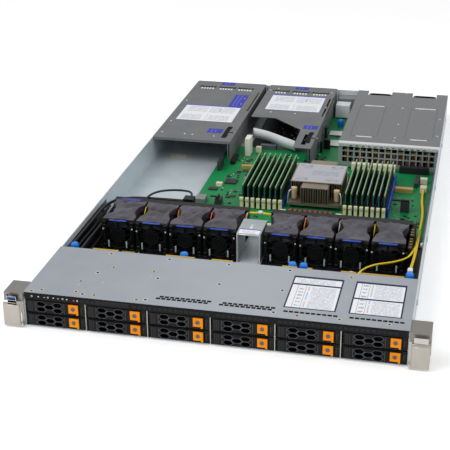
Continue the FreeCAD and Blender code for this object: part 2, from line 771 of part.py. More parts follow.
def carrier_tray():
    """Bezel with its hinge pin, two side rails, and the drive screwed between them."""
    half = CARRIER_WIDTH / 2
    bezel = box("bezel_block", (-half, S.bezel_front, 0), (half, BEZEL_BACK, S.carrier_height))
    recess = box(
        "bezel_recess",
        (-half - S.sheet, S.lever_front - S.sheet, S.bezel_lip),
        (S.lever_end + S.seat_gap, BEZEL_BACK - S.bezel_back, S.carrier_height - S.bezel_lip),
    )
    windows = [
        box(
            f"bezel_window_{number}",
            (S.cell_start - S.cell_reach + number * 2 * S.cell_pitch, 0, S.bezel_back),
            (S.cell_start - 2 * S.cell_reach + (number + 1) * 2 * S.cell_pitch, BEZEL_BACK + S.sheet,
             S.carrier_height - S.bezel_back),
        )
        for number in range(2)
    ]
    pin = rod("bezel_pin", "z", (S.hinge_place, HINGE_BACK, 0), S.pin_radius, S.carrier_height)
    rail = S.rail_sheet
    rails = [
        box(f"rail_{side}", (start, BEZEL_BACK - S.bezel_back, 0),
            (start + rail, BEZEL_BACK + S.rail_length, S.rail_height))
        for side, start in (("left", -half), ("right", half - rail))
    ]
    frame = fuse("tray_frame", [cut("bezel", bezel, [recess, *windows]), pin, *rails])
    drive_low = (S.carrier_height - S.drive_height) / 2
    drive = box("drive", (-DRIVE_WIDTH / 2, BEZEL_BACK, drive_low),
                (DRIVE_WIDTH / 2, BEZEL_BACK + S.drive_length, drive_low + S.drive_height))
    return group("tray_form", [frame, drive])


def cell(across, up):
    """One stretched honeycomb opening."""
    return [
        (across - S.cell_reach, up), (across - S.cell_flat, up - S.cell_half),
        (across + S.cell_flat, up - S.cell_half), (across + S.cell_reach, up),
        (across + S.cell_flat, up + S.cell_half), (across - S.cell_flat, up + S.cell_half),
    ]


def honeycomb():
    """Two columns of two cells with one cell between them."""
    middle = (LEVER_LOW + LEVER_HIGH) / 2
    step = S.cell_half + S.cell_wall / 2
    openings = [cell(S.cell_start + S.cell_pitch, middle)]
    for column in (0, 2):
        across = S.cell_start + column * S.cell_pitch
        openings += [cell(across, middle - step), cell(across, middle + step)]
    return openings


def button_outline(margin):
    """The button's face with its finger edge, grown by a margin."""
    left = S.button_left - margin
    right = S.button_left + S.button_width + margin
    low = S.button_low - margin
    high = S.button_low + S.button_height + margin
    foot = right - S.button_foot_width - 2 * margin
    return [
        (left, low), (foot, low), (foot, low - S.button_foot_drop),
        (right, low - S.button_foot_drop), (right, high), (left, high),
    ]


def carrier_lever():
    """The honeycomb lever with its rounded grip, hinge bore and button window."""
    body = doc.addObject("PartDesign::Body", "lever_form")
    back = S.lever_front + S.lever_plate
    hinge = (S.hinge_place, HINGE_BACK)
    profile = [(S.lever_end, back), (S.lever_end, S.lever_front)]
    for turn in range(-90, -286, -39):
        across = S.hinge_place + S.barrel_radius * math.cos(math.radians(turn))
        profile.append((across, HINGE_BACK + S.barrel_radius * math.sin(math.radians(turn))))
    profile.append((S.hinge_place + S.barrel_radius, HINGE_BACK))
    profile.append((S.hinge_place + S.barrel_radius, back))
    pad_outline(body, "lever_profile", "XY", profile, LEVER_LOW, LEVER_HIGH)
    pocket_outlines(body, "lever_openings", "XZ", [*honeycomb(), button_outline(S.seat_gap)])
    bore = new_sketch(body, "lever_bore_sketch", "XY", 0)
    draw_circle(bore, *hinge, S.pin_radius + S.pin_fit)
    pocket = body.newObject("PartDesign::Pocket", "lever_bore")
    pocket.Profile = bore
    pocket.Type = "ThroughAll"
    pocket.Midplane = True
    return body


def release_button():
    """The release button: a proud cap in the lever's window and a flange behind the lever."""
    body = doc.addObject("PartDesign::Body", "button_form")
    front = S.lever_front - S.button_proud
    lever_back = S.lever_front + S.lever_plate
    flange_front = lever_back + S.seat_gap
    pad_outline(body, "button_cap", "XZ", button_outline(0), front, flange_front)
    left = S.button_left - 2 * S.seat_gap
    right = S.lever_end - S.seat_gap
    high = S.button_low + S.button_height
    flange = rectangle(left, S.button_low, right, high)
    pad_outline(body, "button_flange_pad", "XZ", flange, flange_front, flange_front + S.button_flange)
    return body


def drive_carriers():
    """Two rows of carriers: each is a tray, a lever on it and a button in the lever."""
    forms = {"tray": carrier_tray(), "lever": carrier_lever(), "button": release_button()}
    for row, row_name in enumerate(("lower", "upper")):
        low = CARRIER_LOW + row * S.row_pitch
        for column in range(int(S.bay_columns.value)):
            for piece, form in forms.items():
                name = f"{piece}_{row_name}_{column + 1}"
                sub_part(name, copy_at(f"{name}_copy", form, (bay_middle(column), FRONT, low)))


# ---------------------------------------------------------------- fans, in the frame of one fan
FAN_AXIS_UP = CARRIER_LOW + S.fan_height / 2
MOTOR_START = S.rotor_start + S.rotor_length + 2 * S.seat_gap


def fan_middles():
    """The fan axes from left to right."""
    right = [S.fan_start + (number + 0.5) * FAN_PITCH for number in range(int(S.fan_per_side.value))]
    return [-middle for middle in reversed(right)] + right


def fan_housing():
    """Two end flanges, a waisted body with a round air way, a guard and the fixed motor."""
    body = doc.addObject("PartDesign::Body", "fan_housing_form")
    half = FAN_WIDTH / 2
    up = S.fan_height / 2
    flange = cut_corners(half, -up, up, S.fan_corner)
    waist = cut_corners(up, -up, up, S.fan_waist)
    pad_outline(body, "fan_flange_front", "XZ", flange, 0, S.fan_flange)
    pad_outline(body, "fan_waist_pad", "XZ", waist, S.fan_flange, S.fan_length - S.fan_flange)
    pad_outline(body, "fan_flange_rear", "XZ", flange, S.fan_length - S.fan_flange, S.fan_length)
    pocket_outlines(body, "fan_air_way", "XZ", [polygon(S.fan_bore, 14)])
    spoke = S.fan_spoke / 2
    reach = S.fan_bore
    for name, start, end, hub in (
        ("guard", 0, S.fan_guard, S.fan_guard_hub),
        ("vane", S.fan_length - 2 * S.fan_flange, S.fan_length - S.fan_flange / 2, S.motor_radius),
    ):
        level = rectangle(-reach, -spoke, reach, spoke)
        upright = rectangle(-spoke, -reach, spoke, reach)
        pad_outline(body, f"fan_{name}_level", "XZ", level, start, end)
        pad_outline(body, f"fan_{name}_upright", "XZ", upright, start, end)
        pad_outline(body, f"fan_{name}_hub", "XZ", polygon(hub, 8), start, end)
    vane_start = S.fan_length - 2 * S.fan_flange
    pad_outline(body, "fan_motor", "XZ", polygon(S.motor_radius, 8), MOTOR_START, vane_start)
    bearing = new_sketch(body, "fan_bearing_sketch", "XZ", -MOTOR_START)
    draw_circle(bearing, 0, 0, S.shaft_radius + S.shaft_fit)
    bearing_pocket = body.newObject("PartDesign::Pocket", "fan_bearing")
    bearing_pocket.Profile = bearing
    bind(bearing_pocket, "Length", S.shaft_length)
    return body


def fan_rotor():
    """Hub, shaft and slanted blades that fill the air way."""
    body = doc.addObject("PartDesign::Body", "rotor_form")
    start = S.rotor_start
    end = S.rotor_start + S.rotor_length
    pad_outline(body, "rotor_hub_pad", "XZ", polygon(S.rotor_hub, 10), start, end)
    pad_circle(body, "rotor_shaft", "XZ", (0, 0), S.shaft_radius, end, end + S.shaft_length)
    lead = (start + end - S.blade_chord) / 2
    trail = lead + S.blade_chord
    swing = S.blade_swing / 2
    outline = [
        (lead, -swing), (trail, swing), (trail, swing + S.blade_sheet), (lead, -swing + S.blade_sheet),
    ]
    tip = S.fan_bore - S.rotor_tip_gap - S.blade_sheet
    blade = pad_outline(body, "rotor_blade", "YZ", outline, S.rotor_hub - S.blade_sheet, tip)
    pattern = body.newObject("PartDesign::PolarPattern", "rotor_blades")
    pattern.Originals = [blade]
    pattern.Axis = (origin_feature(body, "Y_Axis"), [""])
    pattern.Angle = 360
    bind(pattern, "Occurrences", S.blade_count)
    body.Tip = pattern
    return body


def fan_cradle(name, side):
    """The bar behind four fans, on partitions that stand on the pan."""
    inner = S.bracket_width / 2 + S.cradle_wall
    outer = S.fan_start + S.fan_per_side * FAN_PITCH + S.cradle_wall
    front = from_front(S.fan_front + S.fan_length + S.seat_gap)
    back = front + S.cradle_depth
    top = CARRIER_LOW + S.fan_height
    left, right = (inner, outer) if side > 0 else (-outer, -inner)
    bar = box(f"{name}_bar", (left, front, top - S.cradle_height), (right, back, top))
    walls = []
    for number in range(int(S.fan_per_side.value) + 1):
        middle = side * (S.fan_start + number * FAN_PITCH)
        walls.append(box(f"{name}_wall_{number}", (middle - S.cradle_wall / 2, front, S.sheet),
                         (middle + S.cradle_wall / 2, back, top)))
    return fuse(name, [bar, *walls])


def fans():
    housing = fan_housing()
    rotor = fan_rotor()
    front = from_front(S.fan_front)
    housings = []
    for number, middle in enumerate(fan_middles(), start=1):
        corner = (middle, front, FAN_AXIS_UP)
        housings.append(copy_at(f"fan_housing_{number}", housing, corner))
        sub_part(f"fan_rotor_{number}", copy_at(f"rotor_copy_{number}", rotor, corner))
    cradles = [fan_cradle("cradle_right", 1), fan_cradle("cradle_left", -1)]
    sub_part("fan_modules", group("fan_set", [*housings, *cradles]))


# ---------------------------------------------------------------- circuit boards
# what is soldered to the main board: place of its left front corner, then width, depth and height;
# the second list is measured from the board's right edge instead
BOARD_PARTS = (
    ("main_chip", (-86, 452), (17, 17, 2.4)),
    ("left_chip", (-104, 424), (13, 9, 2)),
    ("gold_slot", (-74, 516), (24, 8, 5)),
    ("coin_cell_holder", (-111, 372), (14, 19, 7)),
    ("cream_header_1", (-66, 590), (8, 6, 9)),
    ("cream_header_2", (-104, 556), (5, 14, 6)),
    ("cream_header_3", (-96, 440), (9, 7, 5)),
    ("tall_cream_block", (-80, 572), (8, 20, 28)),
    ("dark_slot_left", (-94, 530), (6, 34, 6)),
    ("riser_lock_left", (-108, 500), (5, 26, 14)),
    ("left_header_black", (-112, 312), (14, 14, 31)),
    ("left_clip", (-82, 372), (9, 13, 9)),
    ("supply_plug_1", (90, 545), (26, 10, 10)),
    ("supply_plug_2", (122, 545), (34, 10, 10)),
    ("choke_row", (24, 352), (66, 8, 7)),
    ("fan_header_left", (-40, 306), (52, 6, 6)),
    ("fan_header_right", (60, 306), (52, 6, 6)),
    ("middle_latch", (36, 626), (10, 8, 16)),
)
RIGHT_PARTS = (
    ("gold_slot_right", (-50, 470), (26, 9, 6)),
    ("dark_slot_right", (-24, 492), (6, 34, 7)),
    ("right_clip", (-36, 398), (12, 10, 16)),
    ("supply_plug_3", (-50, 545), (44, 10, 10)),
    ("right_header", (-16, 508), (10, 9, 8)),
    ("yellow_header", (-14, 474), (9, 12, 8)),
)


def board_box(name, corner, size, level):
    """A part that stands on a board; the corner is measured across, and from the front plane."""
    left = Size.of(corner[0])
    front = from_front(corner[1])
    low = Size.of(level)
    return box(name, (left, front, low), (left + size[0], front + size[1], low + size[2]))


def main_board():
    """The board's outline leaves room for the mezzanine card and the supply cage."""
    inside_cage = from_front(S.cage_front) - S.sheet
    beside_cage = S.cage_left - S.sheet
    rear = REAR - S.sheet - S.seat_gap
    notch_front = from_front(S.mezzanine_front) - S.seat_gap
    outline = [
        (S.board_left, from_front(S.board_front)), (BOARD_RIGHT, from_front(S.board_front)),
        (BOARD_RIGHT, inside_cage), (beside_cage, inside_cage), (beside_cage, rear),
        (S.mezzanine_right + S.seat_gap, rear), (S.mezzanine_right + S.seat_gap, notch_front),
        (S.board_left, notch_front),
    ]
    return extrusion("main_board", "XY", outline, S.board_rise, BOARD_TOP)


def prism(name, across, back, radius, sides, low, high):
    """An upright piece with flats round it, such as a knurled knob or a nut."""
    outline = [(across + side, back + depth) for side, depth in polygon(radius, sides)]
    return extrusion(name, "XY", outline, low, high)


def hexagon_post(name, across, back, low, high):
    """An upright six-sided spacer."""
    return prism(name, across, back, S.post_radius, 6, low, high)


def stand_offs():
    """Hexagonal posts between the pan and the boards."""
    front_row = S.board_front + 14
    right = BOARD_RIGHT - 12
    places = [
        (-104, from_front(front_row)), (40, from_front(front_row)), (right, from_front(front_row)),
        (-104, from_front(480)), (-60, from_front(600)), (right, from_front(540)), (46, from_front(700)),
        (-60, from_front(640)), (10, from_front(640)), (46, REAR - 30), (-60, REAR - 40), (10, REAR - 40),
    ]
    return [
        hexagon_post(f"stand_off_{number}", across, back, S.sheet, S.board_rise)
        for number, (across, back) in enumerate(places, start=1)
    ]


def mezzanine():
    """The card behind the main board, its edge connectors and its low ports."""
    front = from_front(S.mezzanine_front)
    rear = REAR - S.sheet - S.seat_gap
    card = box("mezzanine_card", (S.mezzanine_left, front, S.board_rise), (S.mezzanine_right, rear, BOARD_TOP))
    edge = [
        board_box(f"edge_connector_{number}", (-62 + 27 * number, 606), (25, 8, S.edge_connector), BOARD_TOP)
        for number in range(3)
    ]
    ports = []
    for number in range(int(S.port_count.value)):
        left = S.port_left + number * S.port_pitch + (S.port_pitch - S.port_width) / 2
        ports.append(box(f"low_port_{number + 1}", (left, REAR - S.port_depth, BOARD_TOP),
                         (left + S.port_width, REAR, BOARD_TOP + S.port_height - S.seat_gap)))
    return [card, *edge, *ports]


def port_tower():
    """The stacked ports between the middle bracket and the supply cage."""
    left = S.tower_left + S.seat_gap
    right = S.tower_left + S.tower_width - S.seat_gap
    top = BOARD_TOP + S.tower_height - S.seat_gap
    block = box("tower_block", (left, REAR - S.port_depth, BOARD_TOP), (right, REAR, top))
    sockets = [
        box(
            f"tower_socket_{column}_{row}",
            (left + S.sheet + column * (S.tower_width / 2), REAR - S.port_depth / 2,
             BOARD_TOP + S.sheet + row * (S.tower_height / 2)),
            (left + (column + 1) * (S.tower_width / 2) - 2 * S.sheet, REAR + S.sheet,
             BOARD_TOP + (row + 1) * (S.tower_height / 2) - S.sheet),
        )
        for row in range(2)
        for column in range(2)
    ]
    return cut("port_tower", block, sockets)


def memory_places():
    """The middles of all memory sockets."""
    count = int(S.bank_count.value)
    left = [S.bank_left + number * S.bank_left_pitch for number in range(count)]
    return left + [S.bank_right + number * S.bank_right_pitch for number in range(count)]


def memory_sockets():
    """Channel-shaped sockets, each with a slot for its module."""
    slot = S.module_sheet / 2 + S.shaft_fit
    half = S.socket_width / 2
    floor = BOARD_TOP + S.module_foot
    top = BOARD_TOP + S.socket_height
    front = from_front(S.module_front - S.socket_end)
    back = front + S.module_length + 2 * S.socket_end
    outline = [
        (-half, BOARD_TOP), (half, BOARD_TOP), (half, top), (slot, top),
        (slot, floor), (-slot, floor), (-slot, top), (-half, top),
    ]
    form = extrusion("socket_form", "XZ", outline, front, back)
    return [
        copy_at(f"memory_socket_{number}", form, (middle, 0, 0))
        for number, middle in enumerate(memory_places(), start=1)
    ]


def backplane():
    """The upright board behind the lid, with one receptacle for each drive."""
    front = from_front(S.cover_length + S.backplane_gap)
    half = INSIDE - S.backplane_side_gap
    board = box("backplane_board", (-half, front, S.sheet), (half, front + S.board_sheet, S.backplane_top))
    drive_rear = FRONT + BEZEL_BACK + S.drive_length + S.seat_gap
    receptacles = []
    for row in range(2):
        low = CARRIER_LOW + row * S.row_pitch + S.bezel_back
        for column in range(int(S.bay_columns.value)):
            middle = bay_middle(column)
            receptacles.append(box(f"receptacle_{row}_{column}", (middle - 18, drive_rear, low),
                                   (middle + 18, front, low + 6)))
    return [board, *receptacles]


KNOB_PLACES = (-206.2, -65.8, 68.1, 81.6, 207.5)


def knobs():
    """The thumb screws on posts behind the backplane, and those on the boards."""
    back = from_front(S.cover_length + S.knob_back)
    made = []
    for number, across in enumerate(KNOB_PLACES, start=1):
        low = S.knob_top - S.knob_height
        made.append(hexagon_post(f"knob_post_{number}", across, back, S.sheet, low))
        made.append(prism(f"knob_{number}", across, back, S.knob_radius, 12, low, S.knob_top))
    board_knobs = ((-43.5, from_front(632)), (48, REAR - 88))
    for number, (across, place_back) in enumerate(board_knobs, start=1):
        made.append(prism(f"board_knob_{number}", across, place_back, S.knob_radius, 12, BOARD_TOP,
                          BOARD_TOP + S.knob_height))
    return made


def distribution_board():
    """The power board inside the cage grille, with its coils and capacitors."""
    front = from_front(S.cage_front) + 2 * S.lid_sheet
    board = box("power_board", (CAGE_INNER + S.sheet, front, S.board_rise),
                (INSIDE - S.sheet, SUPPLY_FRONT - S.card_socket, BOARD_TOP))
    feet = [
        hexagon_post(f"power_foot_{number}", middle, front + S.card_socket, S.sheet, S.board_rise)
        for number, middle in enumerate(SUPPLY_MIDDLES, start=1)
    ]
    cans = []
    for number in range(7):
        across = CAGE_INNER + 12 + 20.5 * number
        cans.append(prism(f"capacitor_{number + 1}", across, front + 8, 5, 10, BOARD_TOP, BOARD_TOP + 26))
        cans.append(box(f"coil_{number + 1}", (across + 6.5, front + 3, BOARD_TOP),
                        (across + 14, front + 15, BOARD_TOP + 22)))
    return [board, *feet, *cans]


def circuit_boards():
    parts = [board_box(name, corner, size, BOARD_TOP) for name, corner, size in BOARD_PARTS]
    parts += [
        board_box(name, (BOARD_RIGHT + corner[0], corner[1]), size, BOARD_TOP)
        for name, corner, size in RIGHT_PARTS
    ]
    pieces = [
        main_board(), *stand_offs(), *parts, *mezzanine(), port_tower(), *memory_sockets(),
        *backplane(), *knobs(), *distribution_board(),
    ]
    sub_part("circuit_boards", group("board_set", pieces))


# ---------------------------------------------------------------- memory modules and their latches
def memory_modules():
    low = BOARD_TOP + S.module_foot
    front = from_front(S.module_front)
    half = S.module_sheet / 2
    modules = [
        box(f"module_{number}", (middle - half, front, low),
            (middle + half, front + S.module_length, low + S.module_height))
        for number, middle in enumerate(memory_places(), start=1)
    ]
    sub_part("memory_modules", group("module_set", modules))


def latch_form(name, way):
    """One latch: a hooked lever with its finger edge outwards; way is -1 in front and 1 behind."""
    if way < 0:
        face = from_front(S.module_front - S.socket_end - S.latch_gap)
    else:
        face = from_front(S.module_front + S.module_length + S.socket_end + S.latch_gap)
    low = BOARD_TOP + S.latch_low
    top = low + S.latch_height
    neck = top - S.latch_depth / 2
    outer = face + way * S.latch_depth
    waist = face + way * S.latch_depth * 0.7
    outline = [
        (face, low), (waist, low), (waist, neck - S.latch_low), (outer, neck),
        (outer, top), (face + way * S.latch_low, top), (face, neck),
    ]
    half = S.latch_width / 2
    return extrusion(name, "YZ", outline, -half, half)


def memory_latches():
    for name, way in (("front", -1), ("rear", 1)):
        form = latch_form(f"latch_form_{name}", way)
        latches = [
            copy_at(f"latch_{name}_{number}", form, (middle, 0, 0))
            for number, middle in enumerate(memory_places(), start=1)
        ]
        sub_part(f"memory_latches_{name}", group(f"latch_set_{name}", latches))


# ---------------------------------------------------------------- heatsink
def heatsink():
    """Base plate, fins of two lengths and a top plate, with the processor block and four nuts."""
    half = S.sink_width / 2
    core = S.sink_core / 2
    middle = S.sink_middle
    front = from_front(S.sink_front)
    back = front + S.sink_length
    body_front = front + S.sink_end
    body_back = back - S.sink_end
    base_top = S.sink_base_rise + S.sink_base
    body = doc.addObject("PartDesign::Body", "sink_block")
    pad_outline(body, "sink_base_pad", "XY", rectangle(middle - half, front, middle + half, back),
                S.sink_base_rise, base_top)
    fins = (
        ("long", middle - core, S.sink_core, front, back, S.sink_end_top),
        ("left", middle - half, half - core - S.fin_pitch, body_front, body_back, S.sink_top),
        ("right", middle + core + S.fin_pitch - S.fin_sheet, half - core - S.fin_pitch, body_front,
         body_back, S.sink_top),
    )
    for name, left, span, near, far, top in fins:
        outline = rectangle(left, near, left + S.fin_sheet, far)
        fin = pad_outline(body, f"fin_{name}", "XY", outline, S.sink_base_rise, top)
        pattern = body.newObject("PartDesign::LinearPattern", f"fins_{name}")
        pattern.Originals = [fin]
        pattern.Direction = (origin_feature(body, "X_Axis"), [""])
        bind(pattern, "Length", span - S.fin_sheet)
        bind(pattern, "Occurrences", span / S.fin_pitch + 1)
        body.Tip = pattern
    pad_outline(body, "sink_skin_pad", "XY", rectangle(middle - half, body_front, middle + half, body_back),
                S.sink_top - S.sink_skin, S.sink_top)
    pad_outline(body, "sink_end_skin", "XY", rectangle(middle - core, front, middle + core, back),
                S.sink_end_top - S.sink_skin, S.sink_end_top)
    processor = box("processor", (middle - half + S.sink_end / 2, body_front, BOARD_TOP),
                    (middle + half - S.sink_end / 2, body_back, S.sink_base_rise))
    nuts = [
        prism(f"sink_nut_{side}_{end}", middle + side * (half - 6), place_back, S.nut_radius, 8, base_top,
              base_top + S.nut_height)
        for side in (-1, 1)
        for end, place_back in (("front", front + S.sink_end / 2 + 2), ("rear", back - S.sink_end / 2 - 2))
    ]
    sub_part("heatsink", group("sink_set", [body, processor, *nuts]))


# ---------------------------------------------------------------- riser brackets
def bracket_back(name, left, right):
    """The rear face of a riser bracket: a frame round its blanked expansion slot."""
    rear = REAR - S.sheet - S.seat_gap
    low = S.rear_sill + S.seat_gap
    plate = box(f"{name}_back", (left, REAR - S.lid_sheet, low), (right, REAR, LID_LOW))
    reach = box(f"{name}_blank", (left + S.card_socket, rear - S.lid_sheet, low + S.lid_sheet),
                (right - S.card_socket, REAR - S.lid_sheet, low + S.lid_sheet + S.tower_height / 2))
    return [plate, reach]


def vent_slots(name, left, right, back):
    """Three long openings across a bracket's top, near its rear edge."""
    span = (right - left - 2 * S.riser_wall_low) / 3
    return [
        box(f"{name}_vent_{number}",
            (left + S.riser_wall_low + number * span, back - S.knob_radius, LID_LOW - S.sheet),
            (left + number * span + span, back, S.case_height + S.sheet))
        for number in range(3)
    ]


def riser_features(name, wall, front):
    """The finger hole and the long slit over the riser card."""
    hole = box(f"{name}_finger_hole", (wall - 18, front + 15, LID_LOW - S.sheet),
               (wall - 11, front + 62, S.case_height + S.sheet))
    slit = box(f"{name}_slit", (wall - 6, front + 150, LID_LOW - S.sheet),
               (wall - 3, front + 245, S.case_height + S.sheet))
    return [hole, slit]


def riser_card(name, wall, front):
    """The upright card under a bracket and the socket that it stands in."""
    right = wall - S.card_inset + S.board_sheet
    low = BOARD_TOP + S.card_socket + S.seat_gap
    card = box(f"{name}_card", (right - S.board_sheet, front, low),
               (right, front + S.card_length, LID_LOW))
    slot = box(f"{name}_slot", (right - S.board_sheet - S.card_socket, front + S.card_length / 3, low + S.sheet),
               (right - S.board_sheet, front + S.card_length - S.card_socket, low + S.sheet + S.card_socket))
    return [card, slot]


def riser_left():
    """The left bracket: top, right side wall, folded front edge, rear face and its card."""
    left, wall = RISER_LEFT_START, S.riser_left_end
    front = from_front(S.riser_left_front)
    top = box("riser_left_top", (left, front, LID_LOW), (wall, REAR, S.case_height))
    side = box("riser_left_side", (wall - S.lid_sheet, front, S.riser_wall_low),
               (wall, REAR - S.sheet - S.seat_gap, LID_LOW))
    lip = box("riser_left_lip", (left, front - S.lid_sheet, S.case_height - S.riser_lip),
              (wall, front, S.case_height))
    openings = vent_slots("riser_left", left, wall, REAR - S.tower_width)
    openings += riser_features("riser_left", wall, front)
    roof = cut("riser_left_roof", top, openings)
    bracket = fuse("riser_left_bracket", [roof, side, lip, *bracket_back("riser_left", left, wall)])
    sub_part("riser_left", group("riser_left_set", [bracket, *riser_card("riser_left", wall, front)]))


def riser_middle():
    """The middle bracket, whose left arm is cut back in a slanted notch."""
    left, wall = S.riser_mid_start, S.riser_mid_end
    front = from_front(S.riser_mid_front)
    step = from_front(S.riser_mid_step)
    arm = wall - S.card_socket * 3.4
    outline = [
        (left, step), (left + S.card_socket * 5, step), (arm - S.sheet, front + S.bracket_length * 1.7),
        (arm, front), (wall, front), (wall, REAR), (left, REAR),
    ]
    top = extrusion("riser_mid_top", "XY", outline, LID_LOW, S.case_height)
    side = box("riser_mid_side", (wall - S.lid_sheet, front, S.riser_wall_low),
               (wall, REAR - S.sheet - S.seat_gap, LID_LOW))
    openings = vent_slots("riser_mid", left, wall, REAR - S.tower_width)
    openings += riser_features("riser_mid", wall, front)
    roof = cut("riser_mid_roof", top, openings)
    bracket = fuse("riser_mid_bracket", [roof, side, *bracket_back("riser_mid", left, wall)])
    sub_part("riser_middle", group("riser_mid_set", [bracket, *riser_card("riser_mid", wall, front)]))


# ---------------------------------------------------------------- power supplies
def supply(name, middle):
    """One supply: case with its inlet and fan opening, edge card and a loop handle."""
    half = SUPPLY_WIDTH / 2
    rear = SUPPLY_REAR
    front = SUPPLY_FRONT
    low = CARRIER_LOW
    top = low + S.supply_height
    case = box(f"{name}_case", (middle - half, front, low), (middle + half, rear, top))
    inlet = box(f"{name}_inlet", (middle + half - 33, rear - 16, low + 8), (middle + half - 6, rear + 1, low + 28))
    fan_hole = rod(f"{name}_fan_hole", "y", (middle - 12, rear - 5, low + 20), 17, 6)
    edge = box(f"{name}_edge", (middle - half / 2, front - S.card_socket, BOARD_TOP + S.sheet),
               (middle + half / 2, front, BOARD_TOP + S.sheet + S.board_sheet))
    grip = S.handle_width / 2
    bar = S.handle_bar
    tip = rear + S.handle_reach
    loop = [
        (middle - grip, rear), (middle - grip, tip - bar), (middle - grip + bar, tip),
        (middle + grip - bar, tip), (middle + grip, tip - bar), (middle + grip, rear),
        (middle + grip - bar, rear), (middle + grip - bar, tip - bar),
        (middle - grip + bar, tip - bar), (middle - grip + bar, rear),
    ]
    handle = extrusion(f"{name}_handle", "XY", loop, top - 12, top - 2)
    body = fuse(f"{name}_body", [cut(f"{name}_shell", case, [inlet, fan_hole]), edge, handle])
    sub_part(name, body)


def supplies():
    for side, middle in zip(("left", "right"), SUPPLY_MIDDLES):
        supply(f"supply_{side}", middle)


# ---------------------------------------------------------------- cables that the case holds
def arc_path(points):
    """Straight runs joined by the largest tangent arcs that fit; returns the wire and the radii."""
    edges = []
    radii = []
    start = points[0]
    for before, corner, after in zip(points, points[1:], points[2:]):
        way_in = (corner - before).normalize()
        way_out = (after - corner).normalize()
        turn = way_in.getAngle(way_out)
        reach = 0.45 * min((corner - before).Length, (after - corner).Length)
        radii.append(reach / math.tan(turn / 2))
        arc_start = corner - way_in * reach
        arc_end = corner + way_out * reach
        inward = (way_out - way_in).normalize()
        to_middle = radii[-1] / math.cos(turn / 2) - radii[-1]
        edges.append(Part.LineSegment(start, arc_start).toShape())
        edges.append(Part.Arc(arc_start, corner + inward * to_middle, arc_end).toShape())
        start = arc_end
    edges.append(Part.LineSegment(start, points[-1]).toShape())
    return Part.Wire(edges), radii


def cable(name, radius, points):
    """A cable along a hand-laid route, given across, from the front plane, and up; eight flats round it."""
    vectors = [FreeCAD.Vector(across, FRONT.value + back, up) for across, back, up in points]
    path, radii = arc_path(vectors)
    way = (vectors[1] - vectors[0]).normalize()
    side = way.cross(FreeCAD.Vector(0, 0, 1)).normalize()
    up = side.cross(way)
    sides = 8
    turns = [2 * math.pi * (corner + 0.5) / sides for corner in range(sides + 1)]
    rim = [vectors[0] + side * radius * math.cos(turn) + up * radius * math.sin(turn) for turn in turns]
    tube = path.makePipeShell([Part.makePolygon(rim)], True, False)
    expected = sides / 2 * math.sin(2 * math.pi / sides) * radius ** 2 * path.Length
    print(f"{name}: length {path.Length:.0f}, smallest radius {min(radii):.1f}, "
          f"volume / expected {tube.Volume / expected:.4f}")
    piece = doc.addObject("Part::Feature", name)
    piece.Shape = tube
    return piece


def ribbon():
    """The flat cable that stands on edge under the middle bracket."""
    near = [(-80, 640), (-62, 634), (-44, 622), (-24, 606), (-4, 592)]
    far = [(across + 0.6, back + 1.2) for across, back in reversed(near)]
    outline = [(across, from_front(back)) for across, back in near + far]
    low = BOARD_TOP + S.edge_connector
    return extrusion("ribbon_cable", "XY", outline, low, low + 2 * S.socket_height)


def cables():
    pieces = [
        cable("panel_cable", 2.0, [
            (-214, 126.2, 33), (-214, 168, 33), (-212, 226, 35), (-212, 282, 34.5), (-194, 312, 33),
            (-152, 319, 32), (-112, 319, 32),
        ]),
        cable("fan_cable", 1.5, [
            (-163, 295.3, 36.2), (-163, 318, 36.2), (-150, 338, 36.5), (-124, 349, 35), (-105, 346, 34),
            (-105, 326, 34),
        ]),
        cable("wall_cable", 1.8, [
            (202.5, 474, 10.5), (202.5, 440, 10.5), (207.5, 395, 11), (208.4, 340, 16), (207.6, 285, 23),
            (207.8, 235, 31), (200, 184, 36), (146, 160, 35), (146, 126.2, 35),
        ]),
        cable("bridge_cable", 1.6, [
            (-15.55, 289.3, 35.5), (-7, 289.3, 35.5), (0, 290.3, 37.2), (7, 289.3, 35.5),
            (15.55, 289.3, 35.5),
        ]),
        ribbon(),
    ]
    sub_part("cables", group("cable_set", pieces))


# ---------------------------------------------------------------- build, check and write
def check(item):
    """Stop when an object failed or holds no sound shape."""
    bad = {"Invalid", "Error"} & set(item.State)
    if bad or not hasattr(item, "Shape"):
        raise RuntimeError(f"{item.Label} did not recompute: {item.State}")
    if item.Shape.isNull() or not item.Shape.isValid():
        raise RuntimeError(f"{item.Label} has no sound shape")


def main():
    chassis()
    front_cover()
    front_frame()
    ear_flaps()
    drive_carriers()
    fans()
    circuit_boards()
    memory_modules()
    memory_latches()
    heatsink()
    riser_left()
    riser_middle()
    supplies()
    cables()
    doc.recompute()
    for item in doc.Objects:
        if {"Invalid", "Error"} & set(item.State):
            raise RuntimeError(f"{item.Label} did not recompute: {item.State}")
    os.makedirs("parts", exist_ok=True)
    for item in SUB_PARTS:
        check(item)
    for item in SUB_PARTS:
        item.Shape.exportStep(f"parts/{item.Label}.step")
    print(f"{len(SUB_PARTS)} sub-parts written")


main()
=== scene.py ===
# %% [markdown]
# # A 1U rack server with its rear lid off
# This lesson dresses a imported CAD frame. The frame gives the true shapes and the moving
# parts, and each cell adds one finish or one family of small pieces to it.
# All lengths are metres. `MM` turns a millimetre into metres, so that sizes read as on
# a drawing. X runs to the right, Y to the rear and Z up.

# %% Load the frame
import bpy
import math
import random
from mathutils import Matrix, Vector


